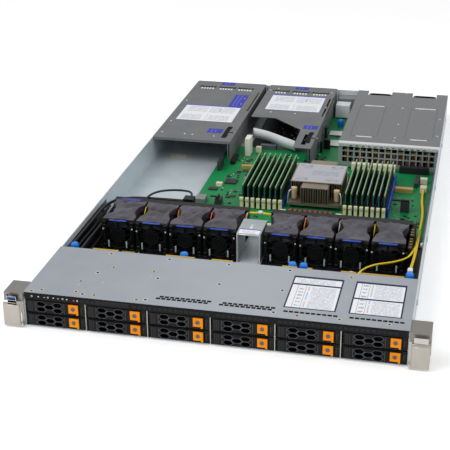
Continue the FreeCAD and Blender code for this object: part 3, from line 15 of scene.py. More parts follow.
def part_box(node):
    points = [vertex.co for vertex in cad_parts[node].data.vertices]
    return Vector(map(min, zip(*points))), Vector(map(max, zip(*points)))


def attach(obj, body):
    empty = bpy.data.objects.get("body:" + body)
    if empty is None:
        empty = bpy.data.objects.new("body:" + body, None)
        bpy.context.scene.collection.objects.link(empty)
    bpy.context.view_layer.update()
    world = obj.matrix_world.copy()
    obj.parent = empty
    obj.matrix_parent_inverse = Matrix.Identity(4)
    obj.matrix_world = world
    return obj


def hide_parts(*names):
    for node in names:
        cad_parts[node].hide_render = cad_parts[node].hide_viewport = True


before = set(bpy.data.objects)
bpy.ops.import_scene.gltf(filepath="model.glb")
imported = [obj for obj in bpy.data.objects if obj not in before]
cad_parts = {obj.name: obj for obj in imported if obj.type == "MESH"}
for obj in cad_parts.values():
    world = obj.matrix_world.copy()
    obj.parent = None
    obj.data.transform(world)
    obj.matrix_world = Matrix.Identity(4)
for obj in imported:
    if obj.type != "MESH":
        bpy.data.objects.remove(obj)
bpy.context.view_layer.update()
MM = 0.001
cover_low, cover_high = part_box("front_cover")
FRONT = cover_low.y


def spot(across, back, up):
    """A point in metres, from millimetres right of the middle, behind the front and up."""
    return Vector((across * MM, FRONT + back * MM, up * MM))


# %% [markdown]
# ## The camera
# A long lens from above the right front corner keeps the sides nearly parallel, as in a
# catalogue picture. The turn, tilt and roll are put together as three rotations, because
# a roll about the line of sight comes before the tilt.

# %% Camera
CAMERA_PLACE = spot(266.6, -1092.5, 650.1)
CAMERA_TURN = math.radians(12.84)
CAMERA_TILT = math.radians(90 - 24.15)
CAMERA_ROLL = math.radians(-0.40)
camera_data = bpy.data.cameras.new("camera")
camera_data.lens = 92.7
camera_data.sensor_width = 36.0
camera = bpy.data.objects.new("camera", camera_data)
bpy.context.scene.collection.objects.link(camera)
turned = Matrix.Rotation(CAMERA_TURN, 4, "Z") @ Matrix.Rotation(CAMERA_TILT, 4, "X")
camera.matrix_world = Matrix.Translation(CAMERA_PLACE) @ turned @ Matrix.Rotation(CAMERA_ROLL, 4, "Z")
bpy.context.scene.camera = camera
bpy.context.scene.view_settings.view_transform = "Standard"
print(f"camera {CAMERA_PLACE.length:.2f} m from the middle of the pan")

# %% [markdown]
# ## Cables
# Inside a server each cable is cut to its run and plugged at both ends. Every cable here
# is a smooth NURBS curve with a round bevel, turned into a mesh; the wall cable has two
# strands. Its points pull the line without being on it, as a stiff cable takes its
# corners wide. The order and the endpoint setting come after the points, because a
# spline with too few points drops them again. The flat ribbon is the same kind of
# curve, raised to a band and given a thickness.

# %% Cables
def only(*pieces):
    """Select these pieces and nothing else; the first one is active."""
    bpy.ops.object.select_all(action="DESELECT")
    for piece in pieces:
        piece.select_set(True)
    bpy.context.view_layer.objects.active = pieces[0]


def smooth_line(name, points, strands=((0, 0, 0),)):
    """A curve drawn by points in millimetres, with one NURBS spline for each strand's shift."""
    curve = bpy.data.curves.new(name, "CURVE")
    curve.dimensions = "3D"
    curve.resolution_u = 10
    for strand in strands:
        line = curve.splines.new("NURBS")
        line.points.add(len(points) - 1)
        for point, place in zip(line.points, points):
            point.co = (*(spot(*place) + Vector(strand) * MM), 1.0)
        line.order_u = 3
        line.use_endpoint_u = True
    piece = bpy.data.objects.new(name, curve)
    bpy.context.scene.collection.objects.link(piece)
    return piece


def wire(name, radius, points, strands=((0, 0, 0),), rounds=2, material=None, solid=False):
    """A round wire or a few strands of one radius, in millimetres; a solid one becomes a mesh."""
    piece = smooth_line(name, points, strands)
    piece.data.bevel_depth = radius * MM
    piece.data.bevel_resolution = rounds
    piece.data.use_fill_caps = True
    if material:
        piece.data.materials.append(bpy.data.materials[material])
    if solid:
        only(piece)
        bpy.ops.object.convert(target="MESH")
    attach(piece, "base")
    return piece


PAIR = ((0.75, 0, 0.55), (-0.75, 0, -0.55))
panel_cable = wire("panel_cable", 2.0, [
    (-214, 126.2, 33), (-214, 168, 33), (-212, 226, 35), (-212, 282, 34.5), (-194, 312, 33),
    (-152, 319, 32), (-112, 319, 32),
], rounds=4, solid=True)
fan_cable = wire("fan_cable", 1.5, [
    (-163, 295.3, 36.2), (-163, 318, 36.2), (-150, 338, 36.5), (-124, 349, 35), (-105, 346, 34),
    (-105, 326, 34),
], rounds=4, solid=True)
wall_cable = wire("wall_cable", 0.95, [
    (202.5, 474, 10.5), (202.5, 440, 10.5), (207.5, 395, 11), (208.4, 340, 16), (207.6, 285, 23),
    (207.8, 235, 31), (200, 184, 36), (146, 160, 35), (146, 126.2, 35),
], PAIR, rounds=4, solid=True)
bridge_cable = wire("bridge_cable", 1.6, [
    (-15.55, 289.3, 35.5), (-7, 289.3, 35.5), (0, 290.3, 37.2), (7, 289.3, 35.5), (15.55, 289.3, 35.5),
], rounds=4, solid=True)
for piece in (panel_cable, fan_cable, wall_cable, bridge_cable):
    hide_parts("cables")
print("4 round cables")

# %% Ribbon cable
ribbon = smooth_line("ribbon_cable", [
    (-80, 640, 21.5), (-62, 634, 21.5), (-44, 622, 21.5), (-24, 606, 21.5), (-4, 592, 21.5),
])
ribbon.data.extrude = 8 * MM
only(ribbon)
bpy.ops.object.convert(target="MESH")
wall = ribbon.modifiers.new("thickness", "SOLIDIFY")
wall.thickness = 0.9 * MM
bpy.ops.object.modifier_apply(modifier="thickness")
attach(ribbon, "base")
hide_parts("cables")
print(f"ribbon of {len(ribbon.data.polygons)} faces")

# %% [markdown]
# ## Shader maths
# A finish is easier to read as a formula. `Field` wraps one socket of a material's node
# tree; adding, multiplying or comparing two fields adds the Math node that does it, and
# `make` adds any other node from its type, its settings and its inputs.

# %% Fields and colours
class Field:
    """A value that changes over a surface."""

    def __init__(self, tree, socket):
        self.tree = tree
        self.socket = socket

    def make(self, kind, settings=(), inputs=(), output=0):
        """Add one node: settings first, then values or links for its sockets."""
        node = self.tree.nodes.new(kind)
        for key, value in dict(settings).items():
            setattr(node, key, value)
        for key, value in dict(inputs).items():
            if isinstance(value, Field):
                self.tree.links.new(value.socket, node.inputs[key])
            else:
                node.inputs[key].default_value = value
        return Field(self.tree, node.outputs[output])

    def maths(self, operation, *values):
        return self.make("ShaderNodeMath", {"operation": operation}, dict(enumerate(values)))

    def __add__(self, other):
        return self.maths("ADD", self, other)

    def __sub__(self, other):
        return self.maths("SUBTRACT", self, other)

    def __rsub__(self, other):
        return self.maths("SUBTRACT", other, self)

    def __mul__(self, other):
        return self.maths("MULTIPLY", self, other)

    def __gt__(self, other):
        return self.maths("GREATER_THAN", self, other)

    def __lt__(self, other):
        return self.maths("LESS_THAN", self, other)

    def within(self, low, high):
        """1 between two limits, else 0."""
        return (self > low) * (self < high)

    def repeat(self, step):
        """The remainder after whole steps, always from 0 to the step."""
        return self.maths("FLOORED_MODULO", self, step)

    def capped(self):
        """The value, at most 1."""
        return self.maths("MINIMUM", self, 1.0)

    def mix(self, first, second):
        """The first colour where this mask is 0, the second where it is 1."""
        inputs = {0: self, 6: first, 7: second}
        return self.make("ShaderNodeMix", {"data_type": "RGBA"}, inputs, output=2)


def tone(code):
    """A linear colour from its six-figure web code."""
    parts = [int(code[i:i + 2], 16) / 255 for i in (0, 2, 4)]
    return tuple(p / 12.92 if p < 0.04045 else ((p + 0.055) / 1.055) ** 2.4 for p in parts) + (1.0,)


# %% [markdown]
# ## One recipe for most finishes
# Real sheet metal and mouldings are never one flat colour: the tone drifts over a few
# centimetres and the gloss breaks up over a few millimetres. `finish` gives every
# material such a drift, a fine grain that can be stretched along one direction for
# brushed metal, and a slight bump from the same grain. The plain finishes are one table:
# name, colour, colour of the drift and roughness, then whatever is not as usual.

# %% The recipe
CLOUD_SCALE = 28.0
CLOUD_PART, GRAIN_PART = 0.7, 0.3
GRAIN_GLOSS = 0.18


def finish(name, base, drift, rough=0.5, metal=0.0, grain=900.0, stretch=(1, 1, 1), bump=0.05, paint=None, shine=0.5):
    """A material whose colour drifts from base to drift; paint may add marks; shine is its mirror part."""
    material = bpy.data.materials.new(name)
    material.use_nodes = True
    tree = material.node_tree
    shader = tree.nodes["Principled BSDF"]
    place = Field(tree, tree.nodes.new("ShaderNodeTexCoord").outputs["Object"])
    cloud = place.make("ShaderNodeTexNoise", (), {"Vector": place, "Scale": CLOUD_SCALE, "Detail": 3.0})
    scaled = place.make("ShaderNodeMapping", (), {"Vector": place, "Scale": stretch})
    speckle = place.make("ShaderNodeTexNoise", (), {"Vector": scaled, "Scale": grain, "Detail": 2.0})
    spread = place.make("ShaderNodeMapRange", (), {0: cloud, 1: 0.3, 2: 0.7, 3: 0.0, 4: 1.0})
    colour = (spread * CLOUD_PART + speckle * GRAIN_PART).mix(tone(base), tone(drift))
    gloss = speckle * GRAIN_GLOSS + (rough - GRAIN_GLOSS / 2)
    metalness = metal
    if paint:
        colour, gloss, metalness = paint(place, colour, gloss, metalness)
    shader.inputs["Specular IOR Level"].default_value = shine
    hill = place.make("ShaderNodeBump", (), {"Height": speckle, "Strength": bump, "Distance": 0.0002})
    for key, value in (("Base Color", colour), ("Roughness", gloss), ("Metallic", metalness), ("Normal", hill)):
        if isinstance(value, Field):
            tree.links.new(value.socket, shader.inputs[key])
        else:
            shader.inputs[key].default_value = value


# Two near-black finishes stand for painted shade: slot_black in screw slots, the ear's port and thumb recess and the
# supply vents, and the brackets' own one in their vents, holes and slits; slot_black is also the black heads of the
# silver screws.
FINISHES = """
bracket_steel 85878a 777a7d 0.5 metal=0.55 grain=800
black_moulding 0c0c0e 131315 0.45 grain=1200 shine=0.25
carrier_black 0e0f10 161719 0.5 shine=0.25
orange_button ff8f00 ffa408 0.45 grain=1500 shine=0.2
fan_moulding 121214 0b0b0d 0.42 shine=0.3
rotor_moulding 0b0b0c 151517 0.4 shine=0.3
latch_cream e4e2b4 d8d4a2 0.45
cable_black 0e0e10 17171a 0.42
yellow_cable f2d41a e3c212 0.42
screw_brass b09a64 94804f 0.35 metal=0.5
screw_silver eceef0 d5d8db 0.3 metal=0.45
slot_black 060607 0c0c0e 0.7 shine=0.1
brass_rim e2dac0 c9bf9e 0.35 metal=0.3
symbol_white e4e6e8 d4d7da 0.5
lamp_red d02f38 b9242e 0.3
smooth_black 121216 18181c 0.22 grain=300 bump=0.01 shine=0.3
strip_edge 1a1b1e 232428 0.4 shine=0.3
rib_grey 5c5e62 4a4c50 0.4 metal=0.2 shine=0.3
grip_grey 222327 2a2b2f 0.35 shine=0.35
mark_grey 5d6068 6c7078 0.35 metal=0.3
port_blue 2568d8 1f57bd 0.35
ear_polish dcd8d0 cfcbc3 0.18 metal=0.7 grain=400 bump=0.01
boot_rubber 5a5663 1d1c21 0.32 grain=150 bump=1.0
fan_black 0c0c0d 131315 0.42 shine=0.3
strip_blue 3a5cc0 3250ac 0.4 shine=0.3
pin_pale c4dcda a4b8b8 0.3 metal=0.2
dot_white dfe4e2 cdd3d1 0.4
spoke_grey 18181a 222326 0.35 shine=0.35
wire_yellow f2d21c e2bf12 0.45
wire_orange e8762a d8662a 0.45
wire_red cc3a36 b8302e 0.45
wire_pale dcd9ce cac7bc 0.45
label_blue 3038a0 2a3190 0.4
tie_white eceeec dcdedc 0.5
box_steel bfc8ca a8b2b5 0.3 metal=0.5 grain=500
edge_gold e0bb36 c09a28 0.4 metal=0.2
cream_plastic e8e2c6 dad3b4 0.45
knob_blue 1787f0 1274d6 0.28 grain=300 bump=0.01
header_black 111113 19191c 0.5 shine=0.3
chip_black 1c1c1f 2a2a2e 0.4
tin b8babc 9c9ea1 0.35 metal=0.8
print_white dfe8e0 cfdad1 0.6
choke_grey 4c4a46 3c3a37 0.5
choke_red c4482c b03c26 0.4
socket_blue 1f46c0 1a3cac 0.4
sink_frame a39686 8c8071 0.38 metal=0.6
nut_cream d8c49a c8b288 0.4
vent_dark 0e0e10 151517 0.7 shine=0.2
vent_bright f4f6f7 e8ebed 0.4
brass_edge b9a468 9c8850 0.4 metal=0.6
panel_line 6d6f72 5f6164 0.45 metal=0.5
bright_fold eceeef d8dbdd 0.28 metal=0.4
coil_orange 9a5c26 6e4018 0.4 metal=0.2 shine=0.3
can_yellow 8d8c3a 6f6e30 0.45 shine=0.3
can_grey 4c5056 3a3d42 0.4 metal=0.2 shine=0.3
hook_white d6dadb c2c7c9 0.4
light_plate e9edf0 dadfe3 0.4
sticker_cream e6e4cf dad8c2 0.6
"""
for line in FINISHES.strip().split("\n"):
    name, base, drift, rough, *others = line.split()
    others = dict(other.split("=") for other in others)
    finish(name, base, drift, float(rough), **{key: float(value) for key, value in others.items()})
finish("warm_nickel", "cfcac1", "bdb8ae", 0.34, 0.7, stretch=(1, 1, 0.1))
finish("fin_metal", "a89c8c", "8f8474", 0.4, 0.7, stretch=(1, 0.1, 1))
finish("ribbon_white", "e9edee", "d9dfe1", 0.45, grain=300, stretch=(0.1, 0.1, 1))
print(f"{len(bpy.data.materials)} plain finishes")

# %% [markdown]
# ## Finishes of the CAD nodes
# The pan is bright zinc-plated steel, the front lid a slightly darker brushed sheet, the
# riser brackets a flat grey plate and the rack ears warm nickel. Where one node holds
# pieces of several finishes, the coordinates tell them apart: the strip over the drive
# bays is black plastic although it belongs to the same node as the ears.

# %% Painted finishes
BAY_PITCH = 72.6
SLOT_RUN, SLOT_PITCH, SLOT_SHADE_WIDTH = 59.8, 6.1, 4.9
SLOT_ROWS = ((-66.2, 211.1, 13.8, 17.8), (-63.1, 69.2, 18.4, 22.4))
# Painted reflection on the lid: it is paler in a band around 30 mm right of the middle.
REFLECTION_MIDDLE, REFLECTION_REACH, REFLECTION_MOST = 30, 0.2, 0.55
STRIP_UP, HEAD_UP, EAR_START = 35.05, 31.5, 217.5
SUPPLY_END = 786


def axes_of(place):
    """The three coordinates of a place, each as a field."""
    split = place.make("ShaderNodeSeparateXYZ", (), {0: place})
    return [Field(place.tree, output) for output in split.socket.node.outputs]


def lid_paint(place, colour, gloss, metalness):
    """A lid with a painted reflection, paler in a band near 30 mm right of the middle, and painted shade in its air
    slots.
    """
    across, back, up = axes_of(place)
    # Painted reflection: the lid turns paler towards that band, most at its middle.
    aside = place.maths("ABSOLUTE", across - REFLECTION_MIDDLE * MM)
    pale = place.make("ShaderNodeMapRange", (), {0: aside, 1: REFLECTION_REACH, 2: 0.02, 3: 0.0, 4: REFLECTION_MOST})
    colour = pale.mix(colour, tone("c3cad0"))
    # Painted shade: the slot walls, the underside 10 to 30 mm behind the front and the slot rows on top turn near
    # black; the front edge is darkened too.
    slots = back.within(FRONT + 10 * MM, FRONT + 30 * MM) * (up < cover_high.z - 0.05 * MM)
    slots = slots + (back < FRONT + 0.6 * MM) * (up < cover_high.z - 0.5 * MM)
    for first, last, near, far in SLOT_ROWS:
        along = ((across - first * MM) * 1000).repeat(BAY_PITCH)
        row = along.within(0, SLOT_RUN) * (along.repeat(SLOT_PITCH) < SLOT_SHADE_WIDTH)
        row = row * across.within(first * MM, last * MM)
        slots = slots + row * back.within(FRONT + near * MM, FRONT + far * MM)
    slots = slots.capped()
    return slots.mix(colour, tone("08080a")), slots * 0.3 + gloss, metalness - slots * 0.5


def frame_paint(place, colour, gloss, metalness):
    """Black moulded strip over the bays, bright dividers below it, nickel ears outside."""
    across, back, up = axes_of(place)
    inside = across.within(-EAR_START * MM, EAR_START * MM)
    strip = inside * (up > STRIP_UP * MM)
    heads = (1 - inside) * (up > HEAD_UP * MM)
    colour = heads.mix(tone("d6d1c8"), tone("98948f"))
    colour = inside.mix(colour, tone("d2cfc4"))
    colour = strip.mix(colour, tone("0c0c0e"))
    return colour, strip * 0.2 + gloss, 0.7 - strip * 0.7


def supply_paint(place, colour, gloss, metalness):
    """A steel case whose rear end, with its handle and its inlet, is black plastic."""
    rear = axes_of(place)[1] > FRONT + SUPPLY_END * MM
    return rear.mix(colour, tone("101013")), gloss, 0.6 - rear * 0.6


finish("lid_steel", "a6adb5", "b0b7bf", 0.42, 0.5, 700, (0.08, 1, 1), 0.08, lid_paint)
finish("frame_metal", "cfcac1", "bdb8ae", 0.34, 0.7, paint=frame_paint, shine=0.25)
finish("supply_metal", "9a9d9f", "8b8e90", 0.42, 0.6, paint=supply_paint, shine=0.3)
print("3 painted finishes")

# %% Dress the CAD nodes
BAYS = [(row, column) for row in ("lower", "upper") for column in range(1, 7)]


def wear(piece, material):
    """Give a piece one finish by its name."""
    piece.data.materials.clear()
    piece.data.materials.append(bpy.data.materials[material])


def dress(material, *names):
    """Give CAD nodes one finish."""
    for name in names:
        wear(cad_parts[name], material)


dress("lid_steel", "front_cover")
dress("bracket_steel", "riser_left", "riser_middle")
dress("warm_nickel", "ear_flap_left", "ear_flap_right")
dress("frame_metal", "front_frame")
for part, material in (("tray", "carrier_black"), ("lever", "black_moulding"), ("button", "orange_button")):
    dress(material, *[f"{part}_{row}_{column}" for row, column in BAYS])
dress("fan_moulding", "fan_modules")
dress("rotor_moulding", *[f"fan_rotor_{number}" for number in range(1, 9)])
dress("fin_metal", "heatsink")
dress("latch_cream", "memory_latches_front", "memory_latches_rear")
dress("supply_metal", "supply_left", "supply_right")
for piece, material in (
    (panel_cable, "cable_black"), (fan_cable, "cable_black"), (wall_cable, "yellow_cable"),
    (bridge_cable, "yellow_cable"), (ribbon, "ribbon_white"),
):
    wear(piece, material)
print(f"{len(BAYS)} carriers, the sheet metal and the cables dressed")

# %% [markdown]
# ## Light and floor
# Two large soft lamps and a pale world give even light. The world shows white only to
# the camera and in reflections, so the metal mirrors a white room while the object
# itself is lit gently.

# %% Stage
def lamp(name, place, size, power):
    """A square lamp that looks at the middle of the server."""
    data = bpy.data.lights.new(name, "AREA")
    data.size = size
    data.energy = power
    light = bpy.data.objects.new(name, data)
    bpy.context.scene.collection.objects.link(light)
    light.location = place
    light.rotation_euler = (-light.location).to_track_quat("-Z", "Y").to_euler()


def seen(tree):
    """1 where the camera looks straight at a surface, else 0."""
    return Field(tree, tree.nodes.new("ShaderNodeLightPath").outputs["Is Camera Ray"])


lamp("key_lamp", (-1.4, -1.2, 2.2), 1.6, 32)
lamp("fill_lamp", (2.0, -0.6, 1.6), 1.8, 14)
world = bpy.data.worlds.new("pale_room")
bpy.context.scene.world = world
world.use_nodes = True
sky = world.node_tree
room = sky.nodes["Background"]
sky.links.new((seen(sky) * 0.42 + 0.58).socket, room.inputs["Strength"])
room.inputs["Color"].default_value = (1, 1, 1, 1)
bpy.ops.object.select_all(action="DESELECT")
bpy.ops.mesh.primitive_plane_add(size=12, location=(0, 0, -0.0005))
floor = bpy.context.object
floor.name = "floor"
floor_material = bpy.data.materials.new("pale_floor")
floor_material.use_nodes = True
floor_tree = floor_material.node_tree
floor_shader = floor_tree.nodes["Principled BSDF"]
floor_shader.inputs["Base Color"].default_value = (0.93, 0.93, 0.93, 1)
floor_shader.inputs["Roughness"].default_value = 0.9
floor_shader.inputs["Emission Color"].default_value = (1, 1, 1, 1)
floor_tree.links.new((seen(floor_tree) * 0.25).socket, floor_shader.inputs["Emission Strength"])
floor.data.materials.append(floor_material)
print("stage set")

# %% [markdown]
# ## Modelling helpers
# A new primitive is selected all over and so is whatever was selected before, so every
# helper starts from an empty selection. Many blocks of one kind are added in edit mode, in
# one mesh, because that is far quicker than an object for each. Every helper leaves the
# finished object at the origin, unturned and unscaled, with its place in its mesh.

# %% Helpers for selection and editing
def leave():
    bpy.ops.object.mode_set(mode="OBJECT")


def choose(piece, test, kind="FACE"):
    """Enter edit mode with only the faces, edges or vertices that pass the test selected."""
    bpy.context.view_layer.objects.active = piece
    bpy.ops.object.mode_set(mode="EDIT")
    bpy.ops.mesh.select_mode(type=kind)
    bpy.ops.mesh.select_all(action="DESELECT")
    leave()
    mesh = piece.data
    if kind == "FACE":
        for face in mesh.polygons:
            face.select = test(face.center, face.normal)
    elif kind == "EDGE":
        for edge in mesh.edges:
            first, last = (mesh.vertices[i].co for i in edge.vertices)
            edge.select = test((first + last) / 2, (last - first).normalized())
    else:
        for vertex in mesh.vertices:
            vertex.select = test(vertex.co, vertex.normal)
    bpy.ops.object.mode_set(mode="EDIT")


def everything(place, way):
    return True


def facing_front(place, way):
    return way.y < -0.9


def push(shift):
    """Extrude what is selected, in millimetres."""
    bpy.ops.mesh.extrude_region_move(TRANSFORM_OT_translate={"value": Vector(shift) * MM})


def slabs(rows, soften=0.0):
    """Blocks in one mesh, each from its left, near, low corner and its three sizes in millimetres."""
    bpy.ops.object.select_all(action="DESELECT")
    piece = None
    for across, back, up, width, depth, height in rows:
        middle = spot(across + width / 2, back + depth / 2, up + height / 2)
        size = (width * MM, depth * MM, height * MM)
        if piece:
            bpy.ops.mesh.primitive_cube_add(size=1, location=middle, scale=size)
        else:
            bpy.ops.mesh.primitive_cube_add(size=1, location=(0, 0, 0))
            piece = bpy.context.object
            piece.data.transform(Matrix.Translation(middle) @ Matrix.Diagonal((*size, 1)))
            bpy.ops.object.mode_set(mode="EDIT")
    if soften:
        bpy.ops.mesh.select_all(action="SELECT")
        bpy.ops.mesh.bevel(offset=soften * MM, segments=1)
    leave()
    return piece


def slab(across, back, up, width, depth, height, soften=0.0):
    """One block from its left, near, low corner, with its edges bevelled if asked."""
    return slabs([(across, back, up, width, depth, height)], soften)


STANDS = {
    "x": Matrix.Rotation(math.pi / 2, 4, "Y"), "y": Matrix.Rotation(-math.pi / 2, 4, "X"), "z": Matrix.Identity(4),
}
WAYS = {"x": Vector((1, 0, 0)), "y": Vector((0, 1, 0)), "z": Vector((0, 0, 1))}


def stand(piece, place, axis, turn=0.0):
    """Turn a new primitive about its own axis and stand it along an axis at a place, in its mesh."""
    piece.matrix_world = Matrix.Translation(place) @ STANDS[axis] @ Matrix.Rotation(turn, 4, "Z")
    piece.data.transform(piece.matrix_basis)
    piece.matrix_basis = Matrix.Identity(4)
    return piece


def drum(across, back, up, radius, height, sides=16, axis="z", soften=0.0, cone=1.0):
    """A round piece from the middle of its first end along an axis, in millimetres."""
    bpy.ops.object.select_all(action="DESELECT")
    bpy.ops.mesh.primitive_cone_add(
        vertices=sides, radius1=radius * MM, radius2=radius * cone * MM, depth=height * MM, location=(0, 0, 0)
    )
    piece = stand(bpy.context.object, spot(across, back, up) + WAYS[axis] * height * MM / 2, axis)
    if soften:
        end = spot(across, back, up) + WAYS[axis] * height * MM
        choose(piece, lambda middle, way: abs((middle - end).dot(WAYS[axis])) < 1e-6, "EDGE")
        bpy.ops.mesh.bevel(offset=soften * MM, segments=2)
        leave()
    return piece


def ring(across, back, up, outer, inner, height, sides=24, axis="z", turn=0.0):
    """A flat ring: an inset disc whose middle is deleted, extruded to its height."""
    bpy.ops.object.select_all(action="DESELECT")
    bpy.ops.mesh.primitive_circle_add(vertices=sides, radius=outer * MM, fill_type="NGON", location=(0, 0, 0))
    piece = stand(bpy.context.object, spot(across, back, up), axis, turn)
    choose(piece, everything)
    bpy.ops.mesh.inset(thickness=(outer - inner) * MM)
    bpy.ops.mesh.delete(type="FACE")
    bpy.ops.mesh.select_all(action="SELECT")
    push(WAYS[axis] * height)
    bpy.ops.mesh.select_all(action="SELECT")
    bpy.ops.mesh.normals_make_consistent(inside=False)
    leave()
    return piece


# %% Helpers for pieces
def merged(parts, smooth=False):
    """Join parts into one object."""
    only(*parts)
    if len(parts) > 1:
        bpy.ops.object.join()
    if smooth:
        bpy.ops.object.shade_smooth_by_angle(angle=math.radians(40))
    return bpy.context.object


def joined(name, parts, material, body="base", smooth=False):
    """Join parts into one named piece with a finish, which rides on a body."""
    piece = merged(parts, smooth)
    piece.name = name
    wear(piece, material)
    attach(piece, body)


def blocks(name, material, soften, rows, body="base", smooth=False):
    """One named piece of many blocks."""
    joined(name, [slabs(rows, soften)], material, body, smooth)


def copies(first, places):
    """A piece and its copies, moved by the differences between places in millimetres."""
    places = [Vector((*place, 0)[:3]) for place in places]
    pieces = [first]
    for place in places[1:]:
        copy = first.copy()
        copy.data = first.data.copy()
        copy.data.transform(Matrix.Translation((place - places[0]) * MM))
        bpy.context.scene.collection.objects.link(copy)
        pieces.append(copy)
    return pieces


def numbered(name, parts, material, places, smooth=False):
    """One named piece for each place: the first made from its parts, the others copied from it."""
    for number, piece in enumerate(copies(merged(parts, smooth), places), start=1):
        joined(f"{name}_{number}", [piece], material)


print("helpers ready")

# %% [markdown]
# ## Printed sheets
# A label is a thin sheet whose picture comes from its material. `printed` measures from
# the sheet's left front corner in millimetres and draws a border, header bars, table
# lines, fine rules where a real label has its writing, and small coloured marks. There
# is no lettering: the rules only suggest it.

# %% Printed sheets
POST_HALF, MARK_WIDTH = 0.25, 1.6
RULE_PART, MARK_PART = 0.38, 0.6
RAGGED_SCALE, RAGGED_LIMIT = 420.0, 0.42


def printed(name, corner, size, border=1.8, bars=(), posts=(), rules=(), marks=(), paper="eceef2", ink="20284f"):
    """A paper finish drawn by a few formulas; every length is in millimetres."""
    left, near = corner
    width, depth = size

    def draw(place, colour, gloss, metalness):
        across, back, _ = axes_of(place)
        across = (across - left * MM) * 1000
        back = (back - (FRONT + near * MM)) * 1000
        lines = 1 - across.within(border, width - border) * back.within(border, depth - border)
        for low, high in bars:
            lines = lines + back.within(low, high)
        for middle, low, high in posts:
            lines = lines + across.within(middle - POST_HALF, middle + POST_HALF) * back.within(low, high) * 0.7
        for x_low, x_high, low, high, step in rules:
            row = (back - low).repeat(step) < step * RULE_PART
            ragged = place.make("ShaderNodeTexNoise", (), {"Vector": place, "Scale": RAGGED_SCALE, "Detail": 1.0})
            row = row * across.within(x_low, x_high) * back.within(low, high) * (ragged > RAGGED_LIMIT)
            colour = (row * 0.6).mix(colour, tone("5a6488"))
        for x_low, low, high, step, code in marks:
            spots = ((back - low).repeat(step) < step * MARK_PART) * across.within(x_low, x_low + MARK_WIDTH)
            colour = (spots * back.within(low, high) * 0.8).mix(colour, tone(code))
        return lines.capped().mix(colour, tone(ink)), gloss, metalness

    finish(name, paper, paper, 0.45, grain=600, bump=0.01, paint=draw, shine=0.25)


def sheet(name, corner, size, up, material, body="base", thickness=0.12):
    """A thin label with softened edges that lies at a height."""
    blocks(name, material, 0.04, [(*corner, up, *size, thickness)], body)


# %% [markdown]
# ## Labels on the front lid
# Two service labels lie side by side on the lid. Each has two framed tables under a
# dark header, with a narrow column of small coloured marks.

# %% Labels on the front lid
LID_TOP = cover_high.z / MM
LABEL_SIZE = (58.2, 79.2)
RED, BLUE = "d8483c", "3c6fd0"
LID_LABELS = {
    "left": ((77.1, 25.0), {
        "bars": ((74.5, 79), (56.8, 60.4)), "posts": ((8.5, 1.3, 57), (18.0, 1.3, 57)),
        "rules": ((25, 53, 3, 55, 2.6), (10.5, 16, 6, 54, 8), (5, 50, 62, 73, 2.6)),
        "marks": ((20.5, 44, 54, 2.6, RED), (20.5, 22, 40, 2.6, BLUE), (20.5, 5, 18, 2.6, RED)),
    }),
    "right": ((149.4, 25.0), {
        "bars": ((74.5, 79), (35.0, 38.4)), "posts": ((7.5, 1.3, 74), (16.5, 1.3, 74)),
        "rules": ((23, 54, 3, 34, 2.6), (23, 54, 41, 73, 2.6), (9, 15, 5, 72, 9)),
        "marks": ((19, 44, 73, 2.6, "4aa66a"), (19, 27, 34, 2.6, BLUE), (19, 5, 24, 2.6, "d8683c")),
    }),
}
for side, (corner, drawing) in LID_LABELS.items():
    printed(f"{side}_service_label", corner, LABEL_SIZE, **drawing)
    sheet(f"lid_label_{side}", corner, LABEL_SIZE, LID_TOP, f"{side}_service_label")
print(f"{len(LID_LABELS)} labels on the front lid")

# %% [markdown]
# ## Screws on the front lid
# The lid is held by brass-coloured countersunk screws near its edges and by silver ones
# on a 73 mm grid, over the dividers of the drive bays. One screw is a dished rim, a low
# head and a cross slot. It is modelled once and copied to each place.

# %% Screws on the front lid
BRASS_PLACES = [
    (-210, 3.6), (-199.5, 8.6), (-159.5, 12.4), (-162.8, 38.2), (-136.5, 8.2), (-136.4, 80.8), (-86.8, 7.7),
    (-86.8, 80.4), (95.5, 8.0), (141.8, 9.0), (195.7, 9.0), (142.1, 112.6),
]
SILVER_PLACES = [
    (-150.4, 115.3), (-77.3, 115.3), (-4.0, 115.3), (69.4, 115.3), (-150.4, 63.2), (-77.3, 63.4),
    (-4.1, 63.7), (69.4, 63.7), (-150.2, 7.6), (-76.7, 9.4), (68.9, 10.2),
]
PIN_PLACES = [(-136.4, 40.4), (-161.6, 29.6), (-150.2, 16.6), (-86.8, 67.0), (142.3, 64.9)]


def screws(name, places, up, radius, rim, head):
    """Rims, heads and cross slots of the same screw at many places."""
    across, back = places[0]
    core, long, short = radius * 0.66, radius * 0.46, radius * 0.2
    edge = ring(across, back, up, radius, core, 0.35, sides=20)
    joined(f"{name}_rims", copies(edge, places), rim, smooth=True)
    disc = drum(across, back, up, core, 0.16, soften=0.05, cone=0.8)
    joined(f"{name}_heads", copies(disc, places), head, smooth=True)
    # The cross slots are thin black slabs of painted shade.
    cross = [
        slab(across - half, back - other, up + 0.1, half * 2, other * 2, 0.1, 0.02)
        for half, other in ((long, short), (short, long))
    ]
    joined(f"{name}_slots", copies(merged(cross), places), "slot_black")


def studs(name, places, up, radius, height, sides, soften, material, body="base"):
    """Small round heads of one size at many places."""
    first = drum(*places[0], up, radius, height, sides=sides, soften=soften)
    joined(name, copies(first, places), material, body, smooth=True)


screws("brass_screws", BRASS_PLACES, LID_TOP, 2.7, "brass_rim", "screw_brass")
screws("silver_screws", SILVER_PLACES, LID_TOP, 2.9, "screw_silver", "slot_black")
studs("lid_pins", PIN_PLACES, LID_TOP, 0.8, 0.25, 10, 0.1, "screw_silver")
print(f"{len(BRASS_PLACES) + len(SILVER_PLACES)} screws and {len(PIN_PLACES)} pins")

# %% [markdown]
# ## The strip over the drive bays
# The black strip has a row of square air holes along its top, a smooth blank where
# another maker would put a name, and at the left small white symbols beside a red and a
# white lamp. The symbols are plain rings and bars.

